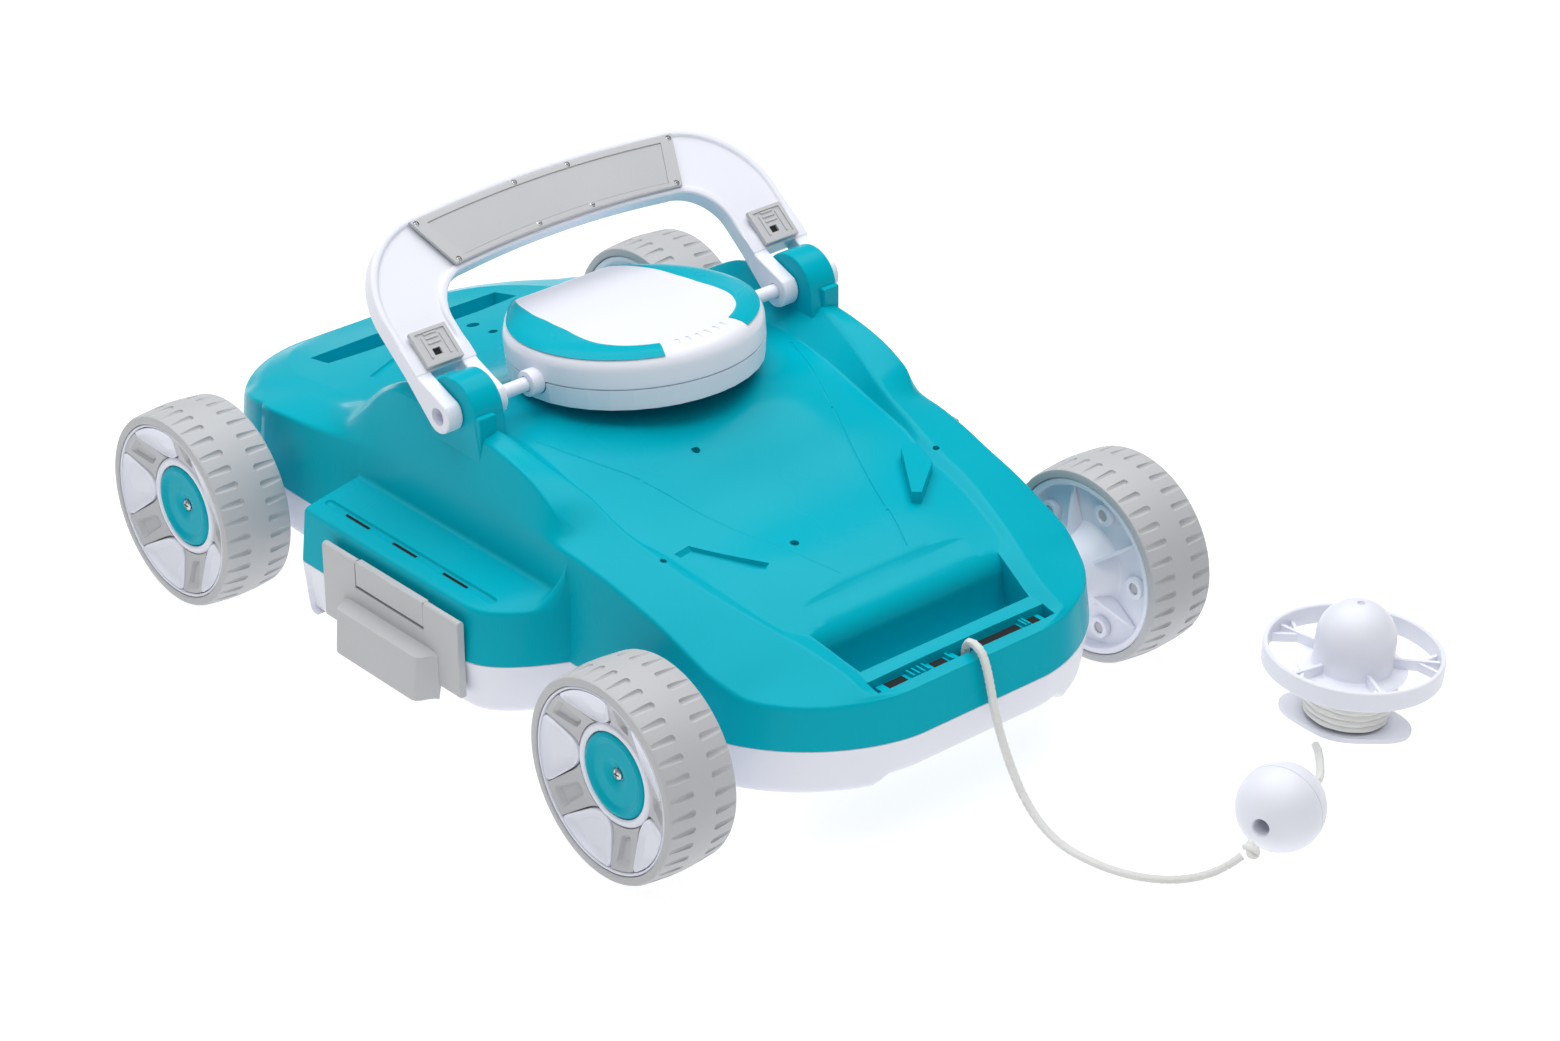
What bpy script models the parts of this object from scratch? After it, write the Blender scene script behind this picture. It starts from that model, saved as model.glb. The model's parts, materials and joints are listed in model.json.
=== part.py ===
"""Cordless pool cleaner: a four-wheeled suction unit with a swinging handle.

The model stands on z = 0, +Z is up, the front (rope side) faces -Y.
Every piece is its own object; moving pieces have their origin on their axis.
"""
import math

import bmesh
import bpy
from mathutils import Matrix, Vector

MM = 0.001

# ---------------------------------------------------------------- driving sizes
GAP = 0.3 * MM                 # clearance between touching pieces
WALL = 2.6 * MM                # moulded wall of cover and base

WHEEL_R = 50.0 * MM            # tyre outer radius, also the axle height
TYRE_W = 38.0 * MM
TYRE_DEPTH = 5.8 * MM          # tyre band thickness in the middle
CROWN_DROP = 1.25 * MM         # tyre shoulder below the crown
WHEELBASE = 331.5 * MM
HUB_CAP_R = 20.35 * MM
RIM_RECESS = 9.0 * MM          # hub cap face behind the tyre's outer face
BUSH_R = 6.5 * MM
PIN_R = 3.5 * MM
PIN_HEAD_R = 5.2 * MM

OVERHANG = 68.25 * MM          # axle to body end
AXLE_COVER = 5.0 * MM          # parting line above the axle
BASE_DEPTH = 27.0 * MM         # base tray height under the parting line
BASE_DRAFT = 4.0 * MM          # inset of the tray's floor
FRONT_LIFT = 3.0 * MM          # tray floor rises at the ends

PUCK_R = 62.0 * MM
PUCK_H = 28.0 * MM
PUCK_SKIRT = 10.0 * MM         # lower ring of the puck
PUCK_SETBACK = 3.0 * MM        # puck centre behind the handle axis
PUCK_TILT = math.radians(5.0)  # tilt at the handle's rear stop
PUCK_CHORD = 57.5 * MM         # chin flat from the puck's centre
PUCK_DROP = 10.0 * MM          # puck underside below the handle axis

LEG_CLEAR = 22.0 * MM          # puck side to inner handle leg
LEG_T = 8.5 * MM               # thickness of each fork leg
LUG_W = 17.0 * MM
LUG_R = 16.5 * MM
LUG_MARGIN = 3.7 * MM          # body flank outside the lug
WHEEL_CLEAR = 13.4 * MM        # body flank to tyre
POD_OUT = 36.5 * MM            # side pod beyond the flank
POD_GAP = 39.0 * MM            # pod end to tyre
AXIS_RISE = 92.0 * MM          # handle axis above the parting line
AXIS_Y = 5.0 * MM              # handle axis behind the wheelbase centre

HANDLE_LEAN = math.radians(38.5)
HANDLE_REACH = 97.0 * MM       # axis to the grip's outer edge
GRIP_W = 33.0 * MM
HANDLE_T = 9.5 * MM
PLATE_T = 2.0 * MM             # grip pad thickness
KEY_W = 21.0 * MM              # slide latch on each arm
KEY_L = 19.5 * MM

LATCH_HALF = 52.0 * MM
LATCH_H = 39.5 * MM
LATCH_T = 4.2 * MM
LATCH_TOP = 21.5 * MM          # latch top above the parting line
TAB_HALF = 26.0 * MM
TAB_H = 13.0 * MM
LIP_OUT = 9.0 * MM

DUCT_R = 42.0 * MM
IMPELLER_R = 36.0 * MM
MOTOR_R = 20.0 * MM

ROPE_D = 4.0 * MM
BALL_R = 20.5 * MM
REEL_R = 42.4 * MM
REEL_CORE_R = 15.0 * MM
REEL_GAP = 25.0 * MM           # winding height between the flanges
REEL_TILT = math.radians(4.0)

SLOT_HALF = 49.0 * MM          # rope slot across the nose
SLOT_W = 6.4 * MM
SLOT_BACK = 15.0 * MM          # slot line behind the front end
MOUTH_W = 120.0 * MM           # suction mouths in the floor
MOUTH_L = 22.0 * MM
MOUTH_Y = 26.0 * MM            # suction mouths in front of and behind the centre
PANEL_HALF = 50.0 * MM         # switch panel in the rear wall
PANEL_LOW = 6.0 * MM           # above the tray floor
PANEL_H = 15.0 * MM

TOP_H = 2.5 * MM               # arm's top face above the handle axis plane
CORNER_OUT = 47.0 * MM         # handle corner radii
CORNER_IN = 23.0 * MM
KEY_TRAVEL = 5.0 * MM
TONGUE_W = 8.6 * MM

SOCKET_R = 6.5 * MM            # puck's hinge bosses
SOCKET_OUT = 6.0 * MM
PUCK_WALL = 2.4 * MM
LIP_HALF = 38.0 * MM           # pull lip of the side latch

TRAY_X = 92.0 * MM             # filter frame half width
TRAY_Y = 62.0 * MM             # and half length
TRAY_H = 36.0 * MM
TRAY_WALL = 2.0 * MM
SCREEN_T = 2.0 * MM
HOUSING_WALL = 2.2 * MM
HOUSING_H = 30.0 * MM
BATTERY = (120.0 * MM, 52.0 * MM, 30.0 * MM)
FLAP_T = 1.6 * MM

SKIRT_X = 80.0 * MM            # suction skirt under the floor
SKIRT_Y = 46.0 * MM
SKIRT_Z = 7.0 * MM             # ground clearance
BUTTON_R = 7.0 * MM
BUTTON_TRAVEL = 2.0 * MM
CAP_R = 6.0 * MM

ROPE_X = 2.0 * MM
KNOT_R = 4.6 * MM
BALL_AT = (77.6, -343.2)
BALL_TURN = math.radians(17)
REEL_AT = (177.0, -291.0)
REEL_TURN = math.radians(-64)
FLANGE_LONG = 32.0 * MM
FLANGE_T = 3.0 * MM
HUB_DISC_R = 26.0 * MM
RING_H = 10.0 * MM
RING_T = 2.6 * MM
DOME_R = 18.9 * MM
DOME_LIFT = 14.0 * MM

# ---------------------------------------------------------------- derived places
BODY_HALF = WHEELBASE / 2 + OVERHANG
PART_Z = WHEEL_R + AXLE_COVER
BASE_Z = PART_Z - BASE_DEPTH
AXIS_Z = PART_Z + AXIS_RISE
INNER_LEG = PUCK_R + LEG_CLEAR             # inner face of the inner leg
LUG_IN = INNER_LEG + LEG_T + GAP
LUG_OUT = LUG_IN + LUG_W
ARM_OUT = LUG_OUT + GAP + LEG_T
FLANK = LUG_OUT + LUG_MARGIN
POD_X = FLANK + POD_OUT
TYRE_IN = FLANK + WHEEL_CLEAR
WHEEL_X = TYRE_IN + TYRE_W / 2
RIM_R = WHEEL_R - TYRE_DEPTH
POD_END = WHEELBASE / 2 - WHEEL_R - POD_GAP
LATCH_X = POD_X + GAP
LATCH_Z = PART_Z + LATCH_TOP
LATCH_AXIS = Vector((LATCH_X + LATCH_T / 2, 0, LATCH_Z - LATCH_T / 2))
PUCK_Y = AXIS_Y + PUCK_SETBACK
PUCK_Z = AXIS_Z - PUCK_DROP
FORK_S = LUG_R + 4.5 * MM                  # fork's root, clear of the lug

NAME = "pool_cleaner"


# ---------------------------------------------------------------- scene helpers
def clear_scene():
    for ob in list(bpy.data.objects):
        bpy.data.objects.remove(ob, do_unlink=True)


def collection(name):
    coll = bpy.data.collections.new(name)
    bpy.context.scene.collection.children.link(coll)
    return coll


def material(name, rgb, roughness, metallic=0.0):
    mat = bpy.data.materials.new(name)
    mat.use_nodes = True
    shader = mat.node_tree.nodes["Principled BSDF"]
    shader.inputs["Base Color"].default_value = (*rgb, 1.0)
    shader.inputs["Roughness"].default_value = roughness
    shader.inputs["Metallic"].default_value = metallic
    mat.diffuse_color = (*rgb, 1.0)
    return mat


def add(name, bm, mat, coll, location=(0, 0, 0), smooth=False):
    """Turn a bmesh into a named object whose origin is at location."""
    bmesh.ops.recalc_face_normals(bm, faces=bm.faces[:])
    mesh = bpy.data.meshes.new(name)
    bm.to_mesh(mesh)
    bm.free()
    mesh.transform(Matrix.Translation(-Vector(location)))
    ob = bpy.data.objects.new(name, mesh)
    ob.location = location
    mesh.materials.append(mat)
    coll.objects.link(ob)
    if smooth:
        mesh.shade_smooth()
        mesh.set_sharp_from_angle(angle=math.radians(35))
    return ob


def box(bm, lo, hi):
    size = Vector(hi) - Vector(lo)
    centre = (Vector(hi) + Vector(lo)) / 2
    place = Matrix.Translation(centre) @ Matrix.Diagonal((*size, 1.0))
    return bmesh.ops.create_cube(bm, size=1.0, matrix=place)["verts"]


def rod(bm, radius, start, end, segments, radius_end=None):
    """A closed cylinder or cone from start to end."""
    start, end = Vector(start), Vector(end)
    turn = (end - start).to_track_quat("Z", "Y").to_matrix().to_4x4()
    place = Matrix.Translation((start + end) / 2) @ turn
    far = radius if radius_end is None else radius_end
    return bmesh.ops.create_cone(bm, cap_ends=True, segments=segments, radius1=radius,
                                 radius2=far, depth=(end - start).length, matrix=place)


def turned(name, profile, mat, coll, axis="Z", location=(0, 0, 0), steps=32, flip=False):
    """Screw a profile of (radius, height) points round its axis."""
    mesh = bpy.data.meshes.new(name)
    points = [(r, 0.0, h) for r, h in profile]
    closed = profile[0][0] > 0 and profile[-1][0] > 0
    count = len(points)
    edges = [(i, i + 1) for i in range(count - 1)]
    if closed:
        edges.append((count - 1, 0))
    mesh.from_pydata(points, edges, [])
    ob = bpy.data.objects.new(name, mesh)
    screw = ob.modifiers.new("Screw", "SCREW")
    screw.axis = "Z"
    screw.steps = steps
    screw.render_steps = steps
    screw.use_merge_vertices = True
    screw.merge_threshold = 0.00001
    screw.use_smooth_shade = True
    mesh.materials.append(mat)
    coll.objects.link(ob)
    ob.location = location
    if axis == "X":
        ob.rotation_euler = (0, math.radians(-90 if flip else 90), 0)
    return ob


def baked(ob):
    """Keep an object's evaluated mesh and drop its modifiers."""
    depsgraph = bpy.context.evaluated_depsgraph_get()
    mesh = bpy.data.meshes.new_from_object(ob.evaluated_get(depsgraph))
    ob.modifiers.clear()
    ob.data = mesh
    return ob


def cut(ob, cutter, operation="DIFFERENCE"):
    cutter.hide_render = True
    cutter.display_type = "WIRE"
    mod = ob.modifiers.new(cutter.name, "BOOLEAN")
    mod.operation = operation
    mod.object = cutter
    mod.solver = "EXACT"


def smooth_curve(points, t):
    """Monotone cubic through (t, value) pairs."""
    if t <= points[0][0]:
        return points[0][1]
    if t >= points[-1][0]:
        return points[-1][1]
    last = len(points) - 2
    i = max(k for k in range(last + 1) if points[k][0] <= t)
    slope = [(b[1] - a[1]) / (b[0] - a[0]) for a, b in zip(points, points[1:])]

    def tangent(k):
        if k == 0 or k == len(points) - 1:
            return slope[0 if k == 0 else -1]
        left, right = slope[k - 1], slope[k]
        return 0.0 if left * right <= 0 else 2 * left * right / (left + right)

    (t0, v0), (t1, v1) = points[i], points[i + 1]
    h = t1 - t0
    u = (t - t0) / h
    return (v0 * (1 + 2 * u) * (1 - u) ** 2 + v1 * u * u * (3 - 2 * u)
            + h * tangent(i) * u * (1 - u) ** 2 - h * tangent(i + 1) * u * u * (1 - u))


# ---------------------------------------------------------------- body outline
# Heights are above the parting line, lengths run as a share of the half length.
CENTRE_H = ((-0.974, 20), (-0.94, 22.7), (-0.892, 25), (-0.782, 35.5), (-0.684, 43), (-0.594, 48),
            (-0.5, 50), (-0.27, 50), (0.0, 48), (0.26, 49), (0.43, 48), (0.64, 42), (0.81, 33.5),
            (0.92, 27), (0.974, 24))
VALLEY_H = ((-0.974, 20), (-0.892, 25), (-0.782, 34), (-0.75, 36), (-0.6, 45), (-0.46, 51),
            (-0.36, 56), (-0.26, 62), (-0.13, 70), (0.0, 74), (0.17, 75), (0.3, 67), (0.43, 51),
            (0.6, 43.5), (0.8, 34), (0.92, 28), (0.974, 24))
CREST_H = ((-0.974, 20), (-0.9, 27), (-0.78, 36), (-0.7, 41), (-0.56, 49), (-0.46, 54), (-0.36, 61),
           (-0.29, 68), (-0.17, 78), (-0.05, 86), (0.06, 88), (0.2, 88), (0.3, 78), (0.4, 60),
           (0.5, 48), (0.65, 40), (0.8, 32), (0.92, 26.5), (0.974, 24))
RIDGE_H = ((-0.974, 20), (-0.82, 22), (-0.75, 27.9), (-0.68, 34), (-0.6, 40.8), (-0.51, 46.4),
           (-0.43, 51), (-0.34, 54.2), (-0.2, 55.7), (-0.07, 56.2), (0.12, 53.6), (0.29, 49.8),
           (0.47, 43.7), (0.645, 38.5), (0.8, 30), (0.86, 25), (0.974, 24))
# Distances in from the lug's inner face (valley, crest) and from the flank (ridge).
VALLEY_IN = ((-0.892, 41.6), (-0.782, 36), (-0.75, 28.8), (-0.6, 20.8), (-0.46, 16.8),
             (-0.36, 10.8), (-0.13, 6.8), (0.3, 6.8), (0.43, 8.8), (0.6, 12.8), (0.8, 18.8),
             (0.92, 26.8))
CREST_IN = ((-0.9, 32.8), (-0.7, 19.8), (-0.56, 12.2), (-0.46, 9.8), (-0.36, 6.8), (-0.29, 5.8),
            (-0.17, -1.2), (-0.05, -6.2), (0.06, -8.2), (0.2, -8.2), (0.3, -6.2), (0.4, -4.2),
            (0.6, -1.2), (0.8, 2.8), (0.92, 12.8))
RIDGE_IN = ((-0.7, 5.8), (-0.6, 4.7), (-0.51, 3.8), (-0.43, 2.4), (-0.34, 1.0), (-0.2, 0.3),
            (0.47, 0.3), (0.64, 1.3), (0.72, 4.0))

WALL_OUT = 4.0 * MM            # parting edge beyond the flank
RIDGE_SETBACK = 6.0 * MM       # end wall leans back to the ridge
CORNER_Y = 69.0 * MM           # length of the rounded corners
POD_NOSE = 36.0 * MM           # length of the pod's rounded front
POD_NOSE_OVER = 6.0 * MM
POD_SHOULDER = 39.0 * MM       # pod's inner edge above the parting line
POD_EDGE = 27.0 * MM           # pod's outer edge above the parting line
RECESS_FLOOR = 5.0 * MM        # front recess floor above the parting line
REAR_RECESS = 7.0 * MM
STEP = 1.6 * MM

# Distance of each centre row from the body end, and its angle round the corner.
FRONT_ROWS = ((6, 0), (11.5, 22), (18, 38), (25.3, 50), (26.8, 60), (48.5, 70), (51, 80), (69, 90))
REAR_ROWS = ((6, 0), (14, 22), (26, 38), (37.5, 50), (39.5, 60), (60, 70), (62, 80), (69, 90))


def corner(angle, inset_x, half_w, start, square):
    """Superellipse corner: x and distance from the body end."""
    a = math.radians(angle)
    x = inset_x + (half_w - inset_x) * math.sin(a) ** (2 / square)
    return x, start + (CORNER_Y - start) * (1 - max(math.cos(a), 0.0) ** (2 / square))


def pod_share(y):
    """0 on the plain flank, 1 along the side pod."""
    nose = -POD_END - POD_NOSE_OVER
    if y <= nose or y >= POD_END:
        return 0.0
    if y > POD_END - 6 * MM:
        return 0.9
    return 1 - max(0.0, 1 - (y - nose) / POD_NOSE) ** 2.2


def rows():
    """Rows across the body, front to rear: centre y, ridge point, parting point, recess."""
    found = []
    for sign, ends, floor_rows in ((-1, FRONT_ROWS, (4, 5)), (1, REAR_ROWS, (4, 5))):
        side = []
        for k, (inset, angle) in enumerate(ends):
            ridge_x, ridge_d = corner(angle, 40 * MM, FLANK - 5.8 * MM, RIDGE_SETBACK, 1.9)
            part_x, part_d = corner(angle, 36 * MM, FLANK - 1.3 * MM, 0.0, 1.75)
            side.append((sign * (BODY_HALF - inset * MM),
                         (ridge_x, sign * (BODY_HALF - ridge_d)),
                         (part_x, sign * (BODY_HALF - part_d)), k in floor_rows))
        found.append(side)
    front, rear = found
    nose = -POD_END - POD_NOSE_OVER
    middle = [nose - 64 * MM, nose - 45 * MM, nose - 25 * MM, nose - 12 * MM, nose]
    middle += [nose + POD_NOSE * f for f in (0.1, 0.25, 0.45, 0.7, 1.0)]
    flat = POD_END - 6 * MM - (nose + POD_NOSE)
    middle += [nose + POD_NOSE + flat * f for f in (0.14, 0.28, 0.42, 0.56, 0.7, 0.85, 1.0)]
    middle += [POD_END - 1.5 * MM, POD_END, POD_END + 14 * MM, POD_END + 34 * MM,
               POD_END + 54 * MM, POD_END + 74 * MM]
    table = list(front)
    for y in middle:
        t = y / BODY_HALF
        ridge_x = FLANK - smooth_curve(RIDGE_IN, t) * MM
        wall_x = FLANK + WALL_OUT * (1 - abs(t)) - 1.3 * MM
        part_x = wall_x + pod_share(y) * (POD_X - wall_x)
        table.append((y, (ridge_x, y), (part_x, y), False))
    return table + rear[::-1]


def half_row(row):
    """One row of cover points from the centre line to the parting edge."""
    y0, (ridge_x, ridge_y), (part_x, part_y), recessed = row

    def place(x, heights, drop=0.0):
        y = y0 + (ridge_y - y0) * (x / ridge_x) ** 2
        return Vector((x, y, PART_Z + smooth_curve(heights, y / BODY_HALF) * MM - drop))

    t = y0 / BODY_HALF
    valley_x = min(LUG_IN - smooth_curve(VALLEY_IN, t) * MM, ridge_x * 0.72)
    crest_x = min(LUG_IN - smooth_curve(CREST_IN, t) * MM, ridge_x * 0.9)
    crest_x = max(crest_x, valley_x + 3 * STEP)
    drop = 0.0
    if recessed:
        drop = REAR_RECESS if y0 > 0 else None
    points = []
    for x, heights in ((0.0, CENTRE_H), (valley_x * 0.55, CENTRE_H), (valley_x, VALLEY_H)):
        point = place(x, heights, drop or 0.0)
        if recessed and drop is None:
            point.z = PART_Z + RECESS_FLOOR
        points.append(point)
    points.append(place(valley_x + STEP, VALLEY_H))
    points.append(place(crest_x, CREST_H))
    ridge = Vector((ridge_x, ridge_y, PART_Z + smooth_curve(RIDGE_H, ridge_y / BODY_HALF) * MM))
    points.append(ridge)
    part = Vector((part_x, part_y, PART_Z))
    share = pod_share(y0)
    shoulder = ridge.lerp(part, 0.35)
    edge = ridge.lerp(part, 0.7)
    if share > 0:
        full = min(1.0, 2 * share)
        shoulder = ridge.lerp(Vector((FLANK + 4.7 * MM, y0, PART_Z + POD_SHOULDER)), full)
        edge = Vector((part_x - 3 * MM * share, y0, PART_Z + POD_EDGE))
    points += [shoulder, edge, part]
    return points


def outline(inset=0.0):
    """Parting outline of the whole body, counter-clockwise from the front centre."""
    table = rows()
    right = [Vector((0, -BODY_HALF, 0))]
    right += [Vector((row[2][0], row[2][1], 0)) for row in table]
    right.append(Vector((0, BODY_HALF, 0)))
    loop = right + [Vector((-p.x, p.y, 0)) for p in right[-2:0:-1]]
    if not inset:
        return loop
    moved = []
    for i, p in enumerate(loop):
        along = (loop[(i + 1) % len(loop)] - loop[i - 1]).normalized()
        moved.append(p + Vector((-along.y, along.x, 0)) * inset)
    return moved


# ---------------------------------------------------------------- shells
def thicken(ob):
    """Give a sheet its moulded wall on the inner side."""
    solid = ob.modifiers.new("Wall", "SOLIDIFY")
    solid.thickness = WALL
    solid.offset = -1
    baked(ob)


def top_cover(coll, tools, mat):
    bm = bmesh.new()
    table = [half_row(row) for row in rows()]
    for side in (1, -1):
        grid = [[bm.verts.new((side * p.x, p.y, p.z)) for p in row] for row in table]
        for a, b in zip(grid, grid[1:]):
            for i in range(len(a) - 1):
                bm.faces.new((a[i], a[i + 1], b[i + 1], b[i]))
        for row, end in ((grid[0], -BODY_HALF), (grid[-1], BODY_HALF)):
            ridge_col = len(row) - 4
            wide = row[-1].co.x / row[ridge_col].co.x
            foot = []
            for v in row[:ridge_col]:
                share = abs(v.co.x / row[ridge_col].co.x)
                y = end + (row[-1].co.y - end) * share ** 3
                foot.append(bm.verts.new((v.co.x * wide, y, PART_Z)))
            for i in range(ridge_col - 1):
                bm.faces.new((row[i], row[i + 1], foot[i + 1], foot[i]))
            bm.faces.new((*row[ridge_col - 1:], foot[-1]))
    bmesh.ops.remove_doubles(bm, verts=bm.verts[:], dist=0.00001)
    cover = add("top_cover", bm, mat, coll)
    thicken(cover)
    for v in cover.data.vertices:
        v.co.z = max(v.co.z, PART_Z + GAP / 2)
    for side, label in ((1, "right"), (-1, "left")):
        cut(cover, lug(tools, mat, side, label), "UNION")
        bore = bmesh.new()
        rod(bore, PIN_R + GAP, (side * (LUG_IN - 5 * MM), AXIS_Y, AXIS_Z),
            (side * (LUG_OUT + 5 * MM), AXIS_Y, AXIS_Z), 16)
        cut(cover, add("lug_bore_" + label, bore, mat, tools))
    slot = bmesh.new()
    bar_y = -BODY_HALF + SLOT_BACK
    box(slot, (-SLOT_HALF, bar_y - SLOT_W / 2, PART_Z + 8 * MM),
        (SLOT_HALF, bar_y + SLOT_W / 2, PART_Z + 40 * MM))
    cut(cover, add("rope_slot_cutter", slot, mat, tools))
    throat = bmesh.new()
    rod(throat, DUCT_R + GAP, (0, PUCK_Y, PART_Z + 30 * MM), (0, PUCK_Y, PART_Z + 70 * MM), 32)
    cut(cover, add("duct_cutter", throat, mat, tools))


def lug(tools, mat, side, label):
    """Half-round hinge ear that stands on the shoulder of the cover."""
    bm = bmesh.new()
    foot_z = PART_Z + 68 * MM
    points = []
    for k in range(13):
        a = math.pi * k / 12
        points.append((AXIS_Y + LUG_R * math.cos(a), AXIS_Z + LUG_R * math.sin(a)))
    points += [(AXIS_Y - LUG_R - 3 * MM, foot_z), (AXIS_Y + LUG_R + 3 * MM, foot_z)]
    prism(bm, points, side * LUG_IN, side * LUG_OUT)
    return add("lug_" + label, bm, mat, tools)


def prism(bm, points, x0, x1):
    """Close a (y, z) outline between two x planes."""
    near = [bm.verts.new((x0, y, z)) for y, z in points]
    far = [bm.verts.new((x1, y, z)) for y, z in points]
    bm.faces.new(near)
    bm.faces.new(far[::-1])
    count = len(points)
    for i in range(count):
        j = (i + 1) % count
        bm.faces.new((near[i], near[j], far[j], far[i]))


def base_tray(coll, tools, mat):
    bm = bmesh.new()
    top = [bm.verts.new((p.x, p.y, PART_Z)) for p in outline()]
    low = []
    for p in outline(BASE_DRAFT):
        share = (abs(p.y) / BODY_HALF) ** 3
        low.append(bm.verts.new((p.x, p.y, BASE_Z + FRONT_LIFT * share)))
    count = len(top)
    for i in range(count):
        j = (i + 1) % count
        bm.faces.new((top[i], low[i], low[j], top[j]))
    ribs = [(low[i], low[-i]) for i in range(1, count // 2)]
    bm.faces.new((low[0], ribs[0][0], ribs[0][1]))
    for (a, b), (c, d) in zip(ribs, ribs[1:]):
        bm.faces.new((a, c, d, b))
    bm.faces.new((ribs[-1][0], low[count // 2], ribs[-1][1]))
    tray = add("base_tray", bm, mat, coll)
    thicken(tray)
    for v in tray.data.vertices:
        v.co.z = min(v.co.z, PART_Z - GAP / 2)
    for name, x, y in wheel_places():
        bore = bmesh.new()
        rod(bore, PIN_R + GAP, (math.copysign(FLANK - 30 * MM, x), y, WHEEL_R),
            (math.copysign(FLANK + 10 * MM, x), y, WHEEL_R), 16)
        cut(tray, add("axle_bore_" + name, bore, mat, tools))
    for sign in (-1, 1):
        mouth = bmesh.new()
        y = sign * MOUTH_Y
        box(mouth, (-MOUTH_W / 2, y - MOUTH_L / 2, BASE_Z - 5 * MM),
            (MOUTH_W / 2, y + MOUTH_L / 2, BASE_Z + 8 * MM))
        cut(tray, add("mouth_cutter_%d" % (sign + 1), mouth, mat, tools))
    panel = bmesh.new()
    box(panel, (-PANEL_HALF - GAP, BODY_HALF - 12 * MM, BASE_Z + PANEL_LOW - GAP),
        (PANEL_HALF + GAP, BODY_HALF + 5 * MM, BASE_Z + PANEL_LOW + PANEL_H + GAP))
    cut(tray, add("panel_cutter", panel, mat, tools))


# ---------------------------------------------------------------- wheels
def wheel_places():
    return [(ends + "_" + side, sx * WHEEL_X, sy * WHEELBASE / 2)
            for ends, sy in (("front", -1), ("rear", 1))
            for side, sx in (("left", -1), ("right", 1))]


def wheels(coll, grey, white, teal, steel):
    half = TYRE_W / 2
    boss_end = -(half + WHEEL_CLEAR - 0.7 * MM)
    cap_face = half - RIM_RECESS
    cap_back = cap_face - 4 * MM
    tread = [(RIM_R, -half), (WHEEL_R - CROWN_DROP, -half), (WHEEL_R - 0.25 * MM, -half / 2),
             (WHEEL_R, 0), (WHEEL_R - 0.25 * MM, half / 2), (WHEEL_R - CROWN_DROP, half),
             (RIM_R, half)]
    outer = RIM_R - GAP
    bore = BUSH_R + GAP
    rim = [(bore, boss_end), (15 * MM, boss_end), (22 * MM, -13 * MM), (outer - 3.4 * MM, -13 * MM),
           (outer - 3.4 * MM, -half + 0.5 * MM), (outer, -half + 0.5 * MM), (outer, half - 0.5 * MM),
           (outer - 2 * MM, half - 0.5 * MM), (outer - 3.4 * MM, cap_face - 1.5 * MM),
           (HUB_CAP_R + 4 * MM, cap_face - 1.5 * MM), (HUB_CAP_R + 3 * MM, cap_face + 1 * MM),
           (HUB_CAP_R + GAP, cap_face + 1 * MM), (HUB_CAP_R + GAP, cap_back - GAP),
           (bore, cap_back - GAP)]
    cap = [(PIN_HEAD_R + GAP, cap_back), (HUB_CAP_R, cap_back), (HUB_CAP_R, cap_face - 1 * MM),
           (HUB_CAP_R - 1 * MM, cap_face), (PIN_HEAD_R + 3 * MM, cap_face),
           (PIN_HEAD_R + GAP, cap_face - 1.5 * MM)]
    bush = [(PIN_R + GAP, boss_end), (BUSH_R, boss_end), (BUSH_R, cap_back - 2 * GAP),
            (PIN_R + GAP, cap_back - 2 * GAP)]
    tail = -(half + WHEEL_CLEAR + 22 * MM)
    pin = [(0, tail), (PIN_R, tail), (PIN_R, cap_back - GAP), (PIN_HEAD_R, cap_back - GAP),
           (PIN_HEAD_R, cap_face - 2.5 * MM), (0, cap_face - 2.5 * MM)]
    for name, x, y in wheel_places():
        place = (x, y, WHEEL_R)
        flip = x < 0
        for label, profile, mat, steps in (("tyre_", tread, grey, 30), ("rim_", rim, white, 24),
                                           ("hub_cap_", cap, teal, 20), ("bush_", bush, grey, 12),
                                           ("axle_pin_", pin, steel, 12)):
            turned(label + name, profile[::-1], mat, coll, "X", place, steps, flip)


# ---------------------------------------------------------------- handle
def handle_point(x, s, h):
    """Point at x across, s along the handle plane, h above it."""
    c, n = math.cos(HANDLE_LEAN), math.sin(HANDLE_LEAN)
    return Vector((x, AXIS_Y + s * c - h * n, AXIS_Z + s * n + h * c))


def handle_edges():
    """Right half of the handle's outer and inner edges, fork to centre line."""
    outer, inner = [], []
    reach_in = HANDLE_REACH - GRIP_W
    for edge, x, reach, radius in ((outer, ARM_OUT, HANDLE_REACH, CORNER_OUT),
                                   (inner, INNER_LEG, reach_in, CORNER_IN)):
        edge.append((x, FORK_S))
        for k in range(7):
            a = math.radians(15 * k)
            edge.append((x - radius * (1 - math.cos(a)), reach - radius * (1 - math.sin(a))))
        end_x = x - radius
        for share in (0.7, 0.35, 0.0):
            edge.append((end_x * share, reach + (1 - share) * 3.5 * MM))
    return outer, inner


def strip(bm, left, right, low, high):
    """Closed plate between two edges of (x, s) points in the handle plane."""
    loops = [[bm.verts.new(handle_point(x, s, h)) for x, s in edge]
             for edge, h in ((left, low), (right, low), (right, high), (left, high))]
    for a, b in zip(loops, loops[1:] + loops[:1]):
        for i in range(len(a) - 1):
            bm.faces.new((a[i], a[i + 1], b[i + 1], b[i]))
    bm.faces.new([loop[0] for loop in loops])
    bm.faces.new([loop[-1] for loop in loops][::-1])


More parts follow.
